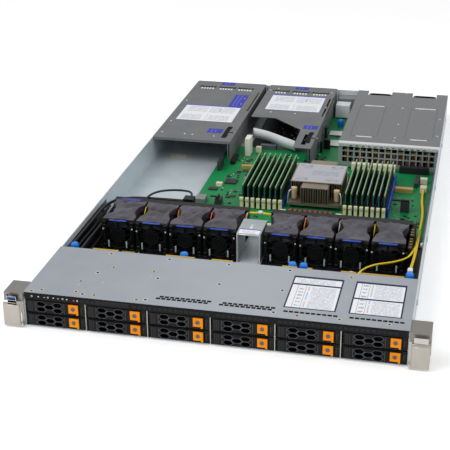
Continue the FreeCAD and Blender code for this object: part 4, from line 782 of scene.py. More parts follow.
# %% Strip over the drive bays
STRIP_FACE = -1.5
symbols = [ring(x, STRIP_FACE - 0.12, 39.2, 1.1, 0.7, 0.12, sides=14, axis="y") for x in (-208, -188.5, -171)]
bars = [(-200, 1.2), (-193, 0.6), (-182, 1.2), (-176.5, 0.6), (-166, 1.2)]
symbols.append(slabs([(x - 0.9, STRIP_FACE - 0.12, 38.6, 1.8, 0.12, height) for x, height in bars], 0.02))
joined("panel_symbols", symbols, "symbol_white")
for name, x, up, radius, material in (
    ("red", -157.5, 38.6, 1.1, "lamp_red"), ("white", -153.5, 38.8, 0.9, "symbol_white"),
):
    glow = drum(x, STRIP_FACE - 0.5, up, radius, 0.5, sides=12, axis="y", soften=0.2)
    joined(f"panel_lamp_{name}", [glow], material)
blocks("panel_blank", "smooth_black", 0.15, [(-133, STRIP_FACE - 0.4, 36.4, 40, 0.4, 4.6)])
places = [start + number * 6.0 for start, count in ((-150, 3), (-89, 26), (76, 22)) for number in range(count)]
places = [across for across in places if abs((across + 2) % BAY_PITCH) > 3]
air_holes = slabs([(across, STRIP_FACE - 0.25, 37.0, 4.4, 0.25, 3.4) for across in places])
choose(air_holes, facing_front)
bpy.ops.mesh.inset(thickness=0.45 * MM, use_individual=True)
push((0, 0.2, 0))
leave()
joined("strip_air_holes", [air_holes], "strip_edge")
print(f"{len(symbols)} symbols and {len(places)} air holes")

# %% [markdown]
# ## Drive carriers
# Each carrier's lever is a black moulding with a honeycomb of thin ribs, a dark grey
# rounded grip at its hinge and an orange release button with a small grey mark. The
# ribs are hexagonal rings, stretched sideways as on the real lever. Everything that is
# on a lever rides on the lever's body, so it swings out with it.

# %% Drive carriers
LOWS = {"lower": 1.5, "upper": 18.9}
LEVER_FACE = -2.3
HEXAGON_FLAT = 0.866
RIB_WIDTH, RIB_DEPTH = 0.42, 0.35
BUTTON_ACROSS, BUTTON_UP = 22.6, 9.0


def bay_middle(column):
    """The middle of a drive bay, in millimetres."""
    return (column - 3.5) * BAY_PITCH


def hexagon_rib(across, up, reach=6.7, half=3.25):
    """One thin hexagonal rib on the lever's face."""
    corner = half / HEXAGON_FLAT
    piece = ring(0, 0, 0, corner, corner - RIB_WIDTH, RIB_DEPTH, sides=6, axis="y", turn=math.pi / 2)
    stretch = Matrix.Diagonal((reach / corner, 1, 1, 1))
    shift = Matrix.Translation(spot(across, LEVER_FACE, up))
    piece.data.transform(shift @ stretch @ Matrix.Translation(-spot(0, 0, 0)))
    return piece


def carrier_details(middle, low):
    """The ribs, grip, button mark and catch of one carrier: kind, parts, finish and what they ride on."""
    height = low + 7.9
    cells = [(-16, 3.45), (-16, -3.45), (-6, 0), (4, 3.45), (4, -3.45)]
    ribs = [hexagon_rib(middle + across, height + up) for across, up in cells]
    ribs.append(slabs([(middle + x, LEVER_FACE, height - 6.2, 0.5, RIB_DEPTH, 12.4) for x in (11.5, -23.2)], 0.05))
    grip = slabs([(middle - 31.4 + step * 2.1, LEVER_FACE, low + 1.6, 1.3, 0.45, 12.6) for step in range(3)], 0.15)
    mark = drum(middle + BUTTON_ACROSS, -3.45, low + BUTTON_UP, 1.9, 0.25, sides=18, axis="y", soften=0.1)
    ring_mark = ring(middle + BUTTON_ACROSS, -3.5, low + BUTTON_UP, 2.5, 2.1, 0.3, sides=18, axis="y")
    catch = slabs([
        (middle + 31.2, -1.35, low + 4.0, 1.6, 0.35, 8.0), (middle + 33.4, -1.25, low + 9.5, 0.9, 0.25, 3.0),
    ], 0.05)
    return [
        ("honeycomb", ribs, "rib_grey", "lever"), ("grip_ribs", [grip], "grip_grey", "lever"),
        ("button_mark", [mark, ring_mark], "mark_grey", "button"), ("catch", [catch], "grip_grey", "tray"),
    ]


middles = [(bay_middle(column), 0, LOWS[row]) for row, column in BAYS]
for kind, parts, material, body in carrier_details(bay_middle(1), LOWS["lower"]):
    for (row, column), piece in zip(BAYS, copies(merged(parts), middles)):
        joined(f"{kind}_{row}_{column}", [piece], material, f"{body}_{row}_{column}")
print(f"{len(BAYS)} drive carriers detailed")

# %% [markdown]
# ## Rack ears
# The left ear's head holds a socket with a blue tongue, and both heads end in a lip over
# the flap. The place where a badge sits on the right ear is a plain polished plate.

# %% Rack ears
EAR_FACE = -7.4
shell = slab(-236.4, EAR_FACE - 0.3, 34.2, 11.4, 0.3, 5.0)
choose(shell, facing_front)
bpy.ops.mesh.inset(thickness=0.5 * MM)
push((0, 0.28, 0))
leave()
joined("ear_port_shell", [shell], "screw_silver")
# The port's mouth around its tongue is a black sheet of painted shade.
blocks("ear_port_mouth_shade", "slot_black", 0.02, [(-235.8, EAR_FACE - 0.12, 34.8, 10.2, 0.12, 3.8)])
blocks("ear_port_tongue", "port_blue", 0.08, [(-235.2, EAR_FACE - 0.4, 36.6, 9.0, 0.35, 1.6)])
# The thumb recess is a black disc of painted shade.
thumb = drum(-230, EAR_FACE - 0.2, 30.6, 5.5, 0.25, sides=28, axis="y", soften=0.1)
joined("ear_thumb_recess_shade", [thumb], "slot_black", smooth=True)
blocks("ear_badge_plate", "ear_polish", 0.12, [(223.5, EAR_FACE - 0.25, 32.6, 15.4, 0.25, 6.6)])
lips = [(left, EAR_FACE - 0.35, 30.5, 22.0, 0.5, 0.8) for left in (-241.0, 219.0)]
blocks("ear_lips", "warm_nickel", 0.2, lips, smooth=True)
for side, left in (("left", -240.6), ("right", 222.0)):
    crown = [(left, -8.35, 4.0, 18.6, 0.6, 24.5)]
    blocks(f"flap_crown_{side}", "warm_nickel", 0.22, crown, f"ear_flap_{side}", smooth=True)
print("ears detailed")

# %% [markdown]
# ## Fan boots
# Each fan wears a dark rubber boot: full width at both ends, drawn in at its waist, with
# a lumpy top. A block is subdivided, its middle is scaled in with an exact centre, and a
# Displace modifier with a cloud pattern adds the lumps before it is applied.

# %% Fan boots
FAN_MIDDLES = [-174.9, -129.8, -84.7, -39.6, 39.6, 84.7, 129.8, 174.9]
WAIST = ((234, 270, 0.93), (239, 267, 0.9), (244, 264, 0.9), (248, 260, 0.93))
WAIST_HEIGHT = 0.985
BOOT_CUTS = 11
LUMP_HEIGHT, LUMP_LEVEL = 4.6, 0.48
lumps = bpy.data.textures.new("boot_lumps", "CLOUDS")
lumps.noise_scale = 0.0065
lumps.noise_depth = 1


def scale_band(piece, near, far, across, up):
    """Scale the vertices between two depths about the piece's own middle."""
    middle = sum((vertex.co for vertex in piece.data.vertices), Vector()) / len(piece.data.vertices)
    low, high = spot(0, near, 0).y, spot(0, far, 0).y
    choose(piece, lambda place, way: low < place.y < high, "VERT")
    bpy.ops.transform.resize(value=(across, 1, up), center_override=middle)
    leave()


def fan_boot(middle):
    """One boot over the top of a fan."""
    piece = slab(middle - 20.8, 219.5, 31.0, 41.6, 61.5, 11.0)
    choose(piece, everything)
    bpy.ops.mesh.subdivide(number_cuts=BOOT_CUTS)
    leave()
    for near, far, across in WAIST:
        scale_band(piece, near, far, across, WAIST_HEIGHT)
    lump = piece.modifiers.new("lumps", "DISPLACE")
    lump.texture = lumps
    lump.texture_coords = "GLOBAL"
    lump.strength = LUMP_HEIGHT * MM
    lump.mid_level = LUMP_LEVEL
    bpy.ops.object.modifier_apply(modifier="lumps")
    return piece


for number, middle in enumerate(FAN_MIDDLES, start=1):
    joined(f"fan_boot_{number}", [fan_boot(middle)], "boot_rubber", smooth=True)
print(f"{len(FAN_MIDDLES)} boots")

# %% [markdown]
# ## Fan fronts
# The front of a fan is a black frame with a round mouth, a hub with two rings, four thin
# slanted spokes, a blue strip on its upper edge, two pale pins at its foot and a white
# dot at each shoulder. One front is modelled and then copied to the other seven fans.

# %% Fan fronts
FAN_FRONT = 217.0
FAN_AXIS = 21.2
SPOKE_PLACE = 14
SPOKE_TURNS = (35, 145, 215, 325)
RIMS = ((2.0, 19.4, 18.2, 40), (1.4, 10.2, 9.3, 28), (1.6, 6.4, 5.6, 24))


def fan_front(middle):
    """Every front piece of one fan: kind, parts and finish."""
    rims = [
        ring(middle, FAN_FRONT - proud, FAN_AXIS, outer, inner, proud - 0.1, sides=sides, axis="y")
        for proud, outer, inner, sides in RIMS
    ]
    hub = drum(middle, FAN_FRONT - 0.9, FAN_AXIS, 9.6, 1.2, sides=28, axis="y")
    spokes = []
    for turn in SPOKE_TURNS:
        way = Vector((math.cos(math.radians(turn)), 0, math.sin(math.radians(turn))))
        bar = slab(-5.0, FAN_FRONT - 1.3, -0.45, 10.0, 1.0, 0.9, 0.1)
        shift = spot(middle, 0, FAN_AXIS) + way * SPOKE_PLACE * MM - spot(0, 0, 0)
        bar.data.transform(Matrix.Translation(shift) @ Matrix.Rotation(-math.radians(turn), 4, "Y"))
        spokes.append(bar)
    corners = slabs([
        (middle + side * 18.2 - 3.2, FAN_FRONT - 1.6, up, 6.4, 1.6, 6.4) for side in (-1, 1) for up in (1.6, 34.2)
    ], 1.4)
    strip = slab(middle - 11.5, FAN_FRONT - 1.0, 40.2, 23, 3.4, 1.1, 0.3)
    pins, feet = [
        [drum(middle + x, FAN_FRONT - 3.6, 1.2, radius, height, sides=12, soften=soften) for x in (-12, 12)]
        for radius, height, soften in ((1.0, 12.5, 0.3), (2.4, 4.0, 0.4))
    ]
    dots = [
        drum(middle + x, FAN_FRONT - 2.2, up, 1.1, 0.8, sides=12, axis="y", soften=0.3)
        for x, up in ((-19.4, 29), (19.4, 31))
    ]
    return [
        ("black", [corners, hub, *spokes, *feet], "fan_black"), ("rims", rims, "spoke_grey"),
        ("strip", [strip], "strip_blue"), ("pins", pins, "pin_pale"), ("dots", dots, "dot_white"),
    ]


middles = [(middle, 0) for middle in FAN_MIDDLES]
for kind, parts, material in fan_front(FAN_MIDDLES[0]):
    numbered(f"fan_front_{kind}", parts, material, middles, smooth=kind == "pins")
print(f"{len(middles)} fan fronts")

# %% [markdown]
# ## Between the fans
# Short coloured wires come out of each fan's rear corner and go down into the black bar
# behind the fans. A silver box between the two groups of fans carries a label, a small
# latch and a strap, and its inside is left open.

# %% Fan wires
WIRES = [
    (-152.3, "yellow", 0), (-107.2, "orange", 1), (-107.0, "yellow", 3), (-62.2, "red", 2), (-62.0, "orange", 0),
    (-16.6, "red", 1), (-16.2, "pale", 3), (62.2, "orange", 0), (62.0, "yellow", 2), (107.2, "pale", 1),
    (107.4, "yellow", 3), (152.3, "yellow", 1),
]
for number, (across, colour, lag) in enumerate(WIRES, start=1):
    near = 262 + lag * 2.5
    wire(f"fan_wire_{number}", 0.75, [
        (across, near, 27), (across + 0.5, near - 1, 33), (across + 1.2, near + 3, 38.5),
        (across + 0.4, near + 10, 39.5), (across, 284.5, 37), (across, 285.5, 34),
    ], material=f"wire_{colour}")
print(f"{len(WIRES)} fan wires")

# %% Bar behind the fans
sheet("fan_bar_label", (-190.5, 284.6), (26.0, 6.8), 40.9, "label_blue")
clips = [(x, 283.8, 38.6, 7.5, 11.2, 2.6) for x in (-134, -88, -43, 36, 81, 127, 172)]
blocks("fan_bar_clips", "fan_black", 0.5, clips)
tie = ring(-2.5, 290.0, 36.8, 2.6, 1.9, 5.0, sides=20, axis="x")
joined("bridge_cable_tie", [tie], "tie_white", smooth=True)
print("bar behind the fans dressed")

# %% Silver box between the fans
BOX_CORNER, BOX_LABEL = (-13.6, 209.8), (27.2, 15.0)
lid_plate = slab(-15.4, 209.0, 41.0, 30.8, 47.0, 0.5)
choose(lid_plate, lambda place, way: abs(way.y) > 0.9 and place.y > spot(0, 230, 0).y)
bpy.ops.mesh.subdivide(number_cuts=2)
leave()
joined("box_lid", [lid_plate], "box_steel")
printed(
    "box_label", BOX_CORNER, BOX_LABEL, border=0.2, bars=((12.6, 14.9),), ink="3c48b4",
    rules=((4, 22, 2, 11, 2.4),), paper="f0f1f3",
)
sheet("box_lid_label", BOX_CORNER, BOX_LABEL, 41.5, "box_label")
joined("box_latch", [
    slab(-1.6, 226.0, 41.4, 3.2, 13.5, 0.7, 0.2), slab(-0.7, 228.0, 41.8, 1.4, 9.0, 1.4, 0.3),
    drum(0, 229.0, 41.4, 2.6, 1.2, sides=18, soften=0.3),
], "screw_silver", smooth=True)
blocks("box_mouth", "screw_silver", 0.3, [
    (-15.3, 207.8, 1.4, 1.4, 1.6, 39.8), (13.9, 207.8, 1.4, 1.4, 1.6, 39.8), (-14.6, 207.8, 39.6, 29.2, 1.6, 1.5),
], smooth=True)
print("silver box dressed")

# %% [markdown]
# ## The backplane's edge and its knobs
# Just behind the lid shows the upper edge of the drive backplane: bare gold-coloured
# board between black connectors, with cream tips, and the caps of five blue knobs. Two
# more knobs stand on the main board.

# %% Backplane edge
EDGE_UP = 41.0
edges = [(-178, 33), (-120, 1), (-85, 36), (-28, 26), (58, 18), (88, 6), (128, 18), (150, 52)]
headers = [(-62, 14, 9), (-214, 20, 8), (24, 16, 6), (92, 24, 7), (160, 18, 6)]
blocks("backplane_gold_edge", "edge_gold", 0.15, [(x, 125.4, EDGE_UP + 0.6, w, 2.4, 1.3) for x, w in edges])
teeth = [(-140 + number * 1.6, 125.4, EDGE_UP - 0.4, 0.8, 2.4, 2.0) for number in range(10)]
blocks("backplane_teeth", "edge_gold", 0, teeth)
blocks("backplane_headers", "header_black", 0.5, [(x, 126.4, 27.0, w, d, 11.0) for x, w, d in headers])
joined("backplane_cream", [
    slab(-173, 126.4, 36.0, 8, 5, 4.8, 0.5), drum(139.5, 131, 33.0, 4.2, 7.5, sides=20, soften=1.4),
], "cream_plastic", smooth=True)
print(f"{len(edges)} pieces of gold edge")

# %% Blue knobs
KNOBS = [(-206.2, 140), (-65.8, 140), (68.1, 140), (81.6, 140), (207.5, 140)]
BOARD_KNOBS = [(-43.5, 632), (48, 742)]


def knob_cap(across, back, up, height, radius=5.0):
    """A domed knob cap with a knurled skirt."""
    cap = drum(across, back, up, radius, height, sides=24, soften=radius * 0.35, cone=0.94)
    choose(cap, lambda place, way: abs(way.z) < 0.3)
    bpy.ops.mesh.inset(thickness=0.25 * MM, depth=0.18 * MM, use_individual=True)
    leave()
    return cap


joined("backplane_knobs", copies(knob_cap(*KNOBS[0], 30.4, 11.4), KNOBS), "knob_blue", smooth=True)
joined("board_knobs", [knob_cap(*place, 6.8, 11.0) for place in BOARD_KNOBS], "knob_blue", smooth=True)
print(f"{len(KNOBS) + len(BOARD_KNOBS)} blue knobs")

# %% [markdown]
# ## Colours on the boards
# The board node holds the board and everything that is soldered to it. `zones` paints
# blocks of space: inside each block the surface takes another colour, so sockets turn
# black, headers cream and contacts gold without a change to the frame's meshes.

# %% Colours on the boards
def zones(*rows):
    """Paint blocks of space: (left, right), (near, far), (low, high) in millimetres, then colour and metalness."""
    def paint(place, colour, gloss, metalness):
        axes = [axis * 1000 for axis in axes_of(place)]
        axes[1] = axes[1] - FRONT * 1000
        for *limits, code, metal in rows:
            inside = None
            for axis, limit in zip(axes, limits):
                if limit:
                    part = axis.within(*limit)
                    inside = part if inside is None else inside * part
            colour = inside.mix(colour, tone(code))
            metalness = inside * (metal - metalness) + metalness
        return colour, gloss, metalness

    return paint


BLACK, CREAM, BRASS, STEEL, KNOB = "111113", "e6dfc4", "c8a96a", "9ea1a3", "1787f0"
ABOVE = (6.7, 42)
ABOVE_BOARD = [
    (-115, 213, 301, 530, "38383c", 0.1), (23, 91, 351, 361, "3a3a3d", 0.4), (-112, -96, 371, 392, "9a9c9e", 0.6),
    (-113, -97, 311, 327, BLACK, 0), (-41, 113, 305, 313, CREAM, 0), (-97, -86, 439, 448, CREAM, 0),
    (-75, -49, 515, 525, BRASS, 0.3), (161, 189, 469, 480, BRASS, 0.3), (-81, -71, 571, 593, "ece9dc", 0),
    (-67, -57, 589, 597, CREAM, 0), (-105, -98, 555, 571, CREAM, 0), (-95, -87, 529, 565, BLACK, 0),
    (89, 160, 544, 556, CREAM, 0), (160, 207, 544, 556, "26282a", 0.2), (196, 208, 472, 518, CREAM, 0),
    (-63, 18, 605, 615, "55585d", 0), (33, 65, 806, 831, STEEL, 0.7), (35, 47, 625, 635, BLACK, 0),
    (68, 218, 570, 584, "3b4436", 0.1),
]
sockets = [
    ((start + number * pitch - 0.5, start + number * pitch + 6.9), (373, 511), (6.7, 16), code, 0)
    for start, pitch in ((-45.9, 7.8), (98.7, 7.63)) for number, code in enumerate([BLACK, "2140b0"] * 4)
]
board_zones = [
    ((-86, 25), (612, 804), (4, 8), "14191a", 0),
    *[((left, right), (near, far), ABOVE, code, metal) for left, right, near, far, code, metal in ABOVE_BOARD],
    *sockets,
    ((-62, 12), (806, 831), (6.7, 15), STEEL, 0.7), ((-217, 217), (110, 124.5), None, BLACK, 0),
    ((-213, 213.5), (134, 146), (28, 45), KNOB, 0), ((42, 54), (736, 748), (6.8, 20), KNOB, 0),
]
finish("green_board", "067a40", "0c9052", 0.42, grain=600, paint=zones(*board_zones), shine=0.3)
dress("green_board", "circuit_boards")
print(f"{len(board_zones)} painted zones on the boards")

# %% [markdown]
# ## Small parts on the board
# A board looks real when it is crowded. Chips, tiny capacitors and pale printed outlines
# fill the free areas. Their places come from a seeded random draw, so that they are the
# same in every run, and each kind is one joined piece.

# %% Small parts on the board
draw = random.Random(7)
BOARD_UP = 6.5
AREA_PER_PART = 95
FREE = [
    (-110, -50, 330, 372), (-86, -50, 376, 440), (-96, -50, 474, 514), (-92, -50, 530, 566), (-60, 20, 530, 600),
    (96, 160, 520, 543), (160, 196, 414, 468), (162, 206, 312, 394), (-40, 20, 320, 350), (92, 150, 320, 350),
    (20, 90, 500, 560), (24, 62, 566, 604), (-60, 24, 650, 800), (32, 60, 650, 730),
]
small = {"chips": [], "tins": [], "creams": [], "prints": []}
for left, right, near, far in FREE:
    area = (right - left) * (far - near)
    for _ in range(int(area / AREA_PER_PART)):
        x, y = draw.uniform(left, right - 4), draw.uniform(near, far - 4)
        kind = draw.choice(("chips", "chips", "tins", "tins", "creams", "prints"))
        if kind == "chips":
            sizes = [(*draw.choice(((3.2, 2.4), (5.0, 4.0), (2.0, 3.4), (6.5, 6.5))), 1.2)]
        elif kind == "tins":
            sizes = [(draw.choice((1.2, 2.2)), 1.1, 0.9)]
        elif kind == "creams":
            sizes = [(2.0, 1.3, 1.3)]
        else:
            length = draw.uniform(2.5, 4.5)
            sizes = [(length, 0.3, 0.06), (0.3, length, 0.06)]
        small[kind] += [(x, y, BOARD_UP, *size) for size in sizes]
blocks("board_small_chips", "chip_black", 0.12, small["chips"])
blocks("board_small_tins", "tin", 0.1, small["tins"])
blocks("board_small_creams", "cream_plastic", 0.15, small["creams"])
blocks("board_printing", "print_white", 0, small["prints"])
cans = [(-58, 322), (-66, 322), (150, 322), (158, 322), (176, 360), (-90, 350), (10, 330), (120, 330)]
studs("capacitor_cans", cans, BOARD_UP, 3.0, 6.0, 18, 0.5, "tin")
print(", ".join(f"{len(parts)} {kind}" for kind, parts in small.items()))

# %% Clips, chokes and contacts
blocks("board_clips", "header_black", 0.4, [
    (-80, 373, 15.4, 3, 11, 3.2), (-90, 377, 16.0, 12, 2.4, 2.0),
    (176.5, 399, 22.4, 11, 3, 2.6), (164, 405, 20.0, 14, 2.6, 2.2),
])
chokes = [26.5 + number * 7.0 for number in range(9)]
blocks("choke_blocks", "choke_grey", 0.6, [(x, 350.6, 12.6, 5.2, 10.4, 4.2) for x in chokes])
blocks("choke_caps", "choke_red", 0.3, [(x + 0.8, 350.2, 16.6, 3.4, 3.4, 1.2) for x in chokes])
blocks("choke_plugs", "cream_plastic", 0.8, [(x, 349, BOARD_UP, 9, 8, 9) for x in (14, 91.5)])
pins = [
    (left + number * 1.2, back, up, 0.6, 5.0, 0.4)
    for left, back, up in ((-73, 517.5, 11.3), (163, 471, 12.3)) for number in range(18)
]
blocks("gold_contacts", "edge_gold", 0, pins)
print(f"{len(chokes)} chokes, {len(pins)} contacts")

# %% [markdown]
# ## Memory modules
# Each module is a green card with black chips on both faces, a pale upper edge and a
# notch of contacts. The chips stand proud of the card, which itself stays as it is.

# %% Memory modules
MODULES = {"left": (-42.7, 7.8), "right": (101.9, 7.63)}
CHIP_STEPS = (0, 1, 2, 3, 5, 6, 7, 8)
module_zones = zones((None, None, (37.6, 39.5), "86a878", 0), (None, None, (7.0, 12.5), "b99a3c", 0.5))
finish("module_board", "155c38", "206e48", 0.4, grain=700, paint=module_zones)
dress("module_board", "memory_modules")
for bank, (start, pitch) in MODULES.items():
    rows = [
        (start + side, 379 + number * 14.2, 21.0, 0.9, 10.5, 13.0) for number in CHIP_STEPS for side in (-1.45, 0.55)
    ]
    middles = [(start + number * pitch, 0) for number in range(8)]
    numbered(f"module_chips_{bank}", [slabs(rows, 0.12)], "chip_black", middles)
blocks("socket_side_blue", "socket_blue", 0.3, [(160.0, 373.5, 6.6, 1.6, 138, 15.0)])
print("16 modules with chips")

# %% [markdown]
# ## Heatsink
# The cooler is a stack of thin fins with a plate on top that carries the maker's notes,
# here only pale rules and small rings. Wire bails hold it down at both sides, and cream
# nuts stand at its corners.

# %% Heatsink
PLATE_CORNER, PLATE_SIZE = (22.9, 401.2), (69.2, 67.6)
BAIL = ((0, 0, 12), (0, 1, 24), (3, 5, 33), (7, 12, 24), (9, 14, 18))
printed(
    "sink_label", PLATE_CORNER, PLATE_SIZE, border=0.0, paper="b2b3ba", ink="55575f",
    rules=((24, 62, 26, 44, 3.6), (10, 22, 50, 60, 3.0), (48, 62, 50, 60, 3.0), (8, 20, 6, 14, 3.0),
           (44, 62, 6, 14, 3.0)),
)
sheet("sink_plate", PLATE_CORNER, PLATE_SIZE, 41.0, "sink_label", thickness=0.4)
rings = [ring(x, y, 41.4, 2.3, 1.7, 0.08, sides=16) for x in (29, 42, 74, 86) for y in (409, 461)]
joined("sink_marks", rings, "mark_grey")
blocks("sink_frame_top", "sink_frame", 0.2, [
    (21.3, 399.4, 40.2, 72.4, 1.8, 1.2), (21.3, 468.9, 40.2, 72.4, 1.8, 1.2),
    (21.3, 401.0, 40.2, 1.7, 68.0, 1.2), (92.0, 401.0, 40.2, 1.7, 68.0, 1.2),
    (39.0, 381.4, 38.8, 36.5, 19.0, 0.8), (39.0, 471.0, 38.8, 36.5, 18.0, 0.8),
])
blocks("sink_fins_front", "fin_metal", 0, [
    (24.0 + number * 2.35, 382.4, 12.6, 0.35, 18.0, 26.0) for number in range(7, 22)
])
joined("sink_nuts", [
    drum(x, y, up, radius, height, sides=18, soften=soften) for x in (27.5, 87.5) for y in (394.5, 477.9)
    for up, radius, height, soften in ((30.6, 4.3, 3.4, 0.6), (18.0, 3.9, 12.8, 0))
], "nut_cream", smooth=True)
for side, x, inwards in (("left", 19.6, 1), ("right", 95.2, -1)):
    for end, near in (("front", 386), ("rear", 470)):
        points = [(x + across * inwards, near + back, up) for across, back, up in BAIL]
        wire(f"sink_bail_{side}_{end}", 0.8, points, material="screw_silver")
print("heatsink dressed")

# %% [markdown]
# ## Card brackets
# Two grey plates fold down over the expansion cards. Each carries a service label, small
# blue notes, three vents with bright holes at the rear, an oblong finger hole with a small
# arm beside it, and a long slit that shows the edge of the riser card.

# %% Labels on the card brackets
BRACKET_TOP = 43.0
CARD_LABELS = {"left": ((-204.0, 618.5), (92.4, 78.4)), "middle": ((-73.0, 696.5), (90.6, 81.0))}
BLUE_NOTES = [
    ("riser_left", (-135.0, 697.5), (22.6, 65.0)), ("riser_left", (-140.0, 566.5), (23.2, 18.8)),
    ("riser_left", (-172.5, 812.5), (23.6, 15.5)), ("riser_middle", (4.2, 613.0), (22.2, 17.0)),
    ("riser_middle", (-41.0, 812.5), (22.6, 15.5)),
]
for side, (corner, size) in CARD_LABELS.items():
    printed(
        f"card_label_{side}", corner, size, border=0.4, bars=((size[1] - 4, size[1]),), ink="4450c0",
        posts=((size[0] * 0.5, 3, 34),), paper="eef0f4",
        rules=((5, 38, 6, 30, 5.0), (50, 84, 6, 30, 5.0), (8, 40, 46, 70, 7.0), (44, 86, 44, 72, 4.0)),
        marks=((60, 50, 66, 5.0, "4450c0"),),
    )
    sheet(f"card_label_{side}", corner, size, BRACKET_TOP, f"card_label_{side}", f"riser_{side}")
for number, (body, corner, size) in enumerate(BLUE_NOTES, start=1):
    printed(
        f"blue_note_{number}", corner, size, border=0.3, paper="2c36ae", ink="262e96",
        marks=[(size[0] * part, 4, size[1] - 4, 5.0, "8f96dc") for part in (0.25, 0.5)],
    )
    sheet(f"blue_note_{number}", corner, size, BRACKET_TOP, f"blue_note_{number}", body)
windows = [(-117.5, y, BRACKET_TOP + 0.1, 2.2, 2.2, 0.12) for y in (713, 743)]
blocks("blue_note_windows", "symbol_white", 0.05, windows, "riser_left")
print(f"{len(CARD_LABELS)} labels and {len(BLUE_NOTES)} blue notes")

# %% Vents, holes and rivets of the card brackets
HOLE_PITCH = 4.9
VENTS = {
    "riser_left": ((-205, 27), (-172, 29), (-139, 27)),
    "riser_middle": ((-74, 25), (-42, 28), (-8.5, 28)),
}
RIVETS = {
    "riser_left": [(-208.5, 608.7), (-208.8, 555.5), (-171.8, 553.0), (-159.4, 552.5), (-124.8, 552.0), (-210, 716)],
    "riser_middle": [(-82, 800), (-70, 812), (24, 805), (-60, 684), (-20, 684)],
}


def vent(across, width, body, name):
    """A louvred opening, a dark sheet of painted shade, with a row of bright holes in front of it."""
    holes = [
        (across + 1.6 + HOLE_PITCH * step, 785.5, BRACKET_TOP - 0.8, 3.9, 8.0, 1.0)
        for step in range(int((width - 2) / HOLE_PITCH))
    ]
    blocks(f"{name}_dark", "vent_dark", 0.05, [(across, 795.5, BRACKET_TOP, width, 8.5, 0.12)], body)
    blocks(f"{name}_lip", "bracket_steel", 0.1, [(across + 2, 800.5, BRACKET_TOP + 0.05, width - 4, 2.4, 0.3)], body)
    blocks(f"{name}_holes", "vent_bright", 0.9, holes, body)


def finger_hole(across, body, name):
    """An oblong hole, a dark sheet of painted shade, with a catch arm and its screw."""
    ends = [drum(across, y, BRACKET_TOP, 4.2, 0.13, sides=18) for y in (553, 560, 590, 596)]
    joined(f"{name}_hole", [slab(across - 2.8, 549.5, BRACKET_TOP, 5.6, 50.0, 0.12), *ends], "vent_dark", body)
    blocks(f"{name}_arm", "header_black", 0.2, [(across + 2.0, 571.5, BRACKET_TOP + 0.1, 8.0, 2.6, 0.5)], body)
    studs(f"{name}_stud", [(across + 12.0, 573.0)], BRACKET_TOP, 2.2, 0.7, 16, 0.3, "brass_edge", body)


def slit(across, depth, body):
    """A long slit, a dark sheet of painted shade, with the edge of a card in it."""
    blocks(f"{body}_slit", "vent_dark", 0.02, [(across, 686, BRACKET_TOP, 2.8, depth, 0.12)], body)
    edge = [(across + 0.4, 687, BRACKET_TOP + 0.05, 0.9, depth - 3, 0.2)]
    blocks(f"{body}_slit_edge", "brass_edge", 0.05, edge, body)


for body, row in VENTS.items():
    for number, (across, width) in enumerate(row, start=1):
        vent(across, width, body, f"{body}_vent_{number}")
finger_hole(-108.6, "riser_left", "left_catch")
finger_hole(20.8, "riser_middle", "middle_catch")
slit(-101.4, 96, "riser_left")
slit(28.6, 90, "riser_middle")
for body, places in RIVETS.items():
    studs(f"{body}_rivets", places, BRACKET_TOP, 1.4, 0.35, 14, 0.2, "vent_bright", body)
print("vents, finger holes, slits and rivets in place")

# %% [markdown]
# ## The supply cage
# The cage's grey top has two pressed panels with bright slots at their ends, a bright
# folded lip above the grille, and behind the grille the coils of the power board.

# %% Supply cage
CAGE_TOP = 43.0
CAGE_RIVETS = [(148.8, 746), (148.8, 664.5), (148.9, 600.2), (148.9, 585.1), (148.5, 826), (212, 700), (212, 620)]
cage_zones = zones(
    ((66.8, 218.6), (572.0, 831), (41.9, 43.5), "7f8183", 0.5),
    ((66.8, 218.6), (560.0, 572), (36.0, 43.5), "e6e8ea", 0.4),
    ((66.8, 217.2), (560.0, 830), (1.3, 41.9), "b9bdc0", 0.5),
    ((-15.2, 15.2), (208, 258), (1.2, 41.2), "aeb4b6", 0.6),
    ((210, 218.0), (124, 560), (1.3, 44), "73787a", 0.5),
    # Painted shade: the left channel beside the fans and the floor in front of the fan row are near black; in the left
    # channel this also stands in for the black cables packed along the wall.
    ((-218.0, -196), (124, 300), (-1, 34), "0e0e10", 0),
    ((-198, -16), (124, 300), (-1, 3), "121214", 0),
    ((16, 218.0), (124, 300), (-1, 3), "1a1a1e", 0),
)
finish("zinc_plate", "d6e0e6", "c4d0d7", 0.36, 0.25, 500, (1, 0.15, 1), paint=cage_zones)
dress("zinc_plate", "chassis")
lines, slots = [], []
for left, right in ((80, 121), (163, 205)):
    lines += [(x, 600, CAGE_TOP, 0.7, 150, 0.18) for x in (left, right)]
    lines += [(left + 2, y, CAGE_TOP, right - left - 4, 0.7, 0.18) for y in (750, 598)]
    slots.append((left + 6, 746, CAGE_TOP, right - left - 8, 4.5, 0.35))
    slots.append((left + 9, 594, CAGE_TOP, right - left - 16, 4.0, 0.35))
blocks("cage_panel_lines", "panel_line", 0.05, lines)
blocks("cage_panel_slots", "bright_fold", 0.15, slots, smooth=True)
studs("cage_rivets", CAGE_RIVETS, CAGE_TOP, 1.6, 0.35, 14, 0.2, "bright_fold")
lip = slab(67.0, 563.6, 36.8, 151.0, 1.4, 6.6, 0.4)
choose(lip, facing_front)
bpy.ops.mesh.inset(thickness=1.0 * MM, depth=0.3 * MM)
leave()
joined("cage_lip", [lip], "bright_fold")
nicks = [(84 + number * 9.2, 563.0, 38.2, 4.5, 0.8, 1.6) for number in range(13)]
blocks("cage_lip_nicks", "panel_line", 0.1, nicks)
print("supply cage dressed")

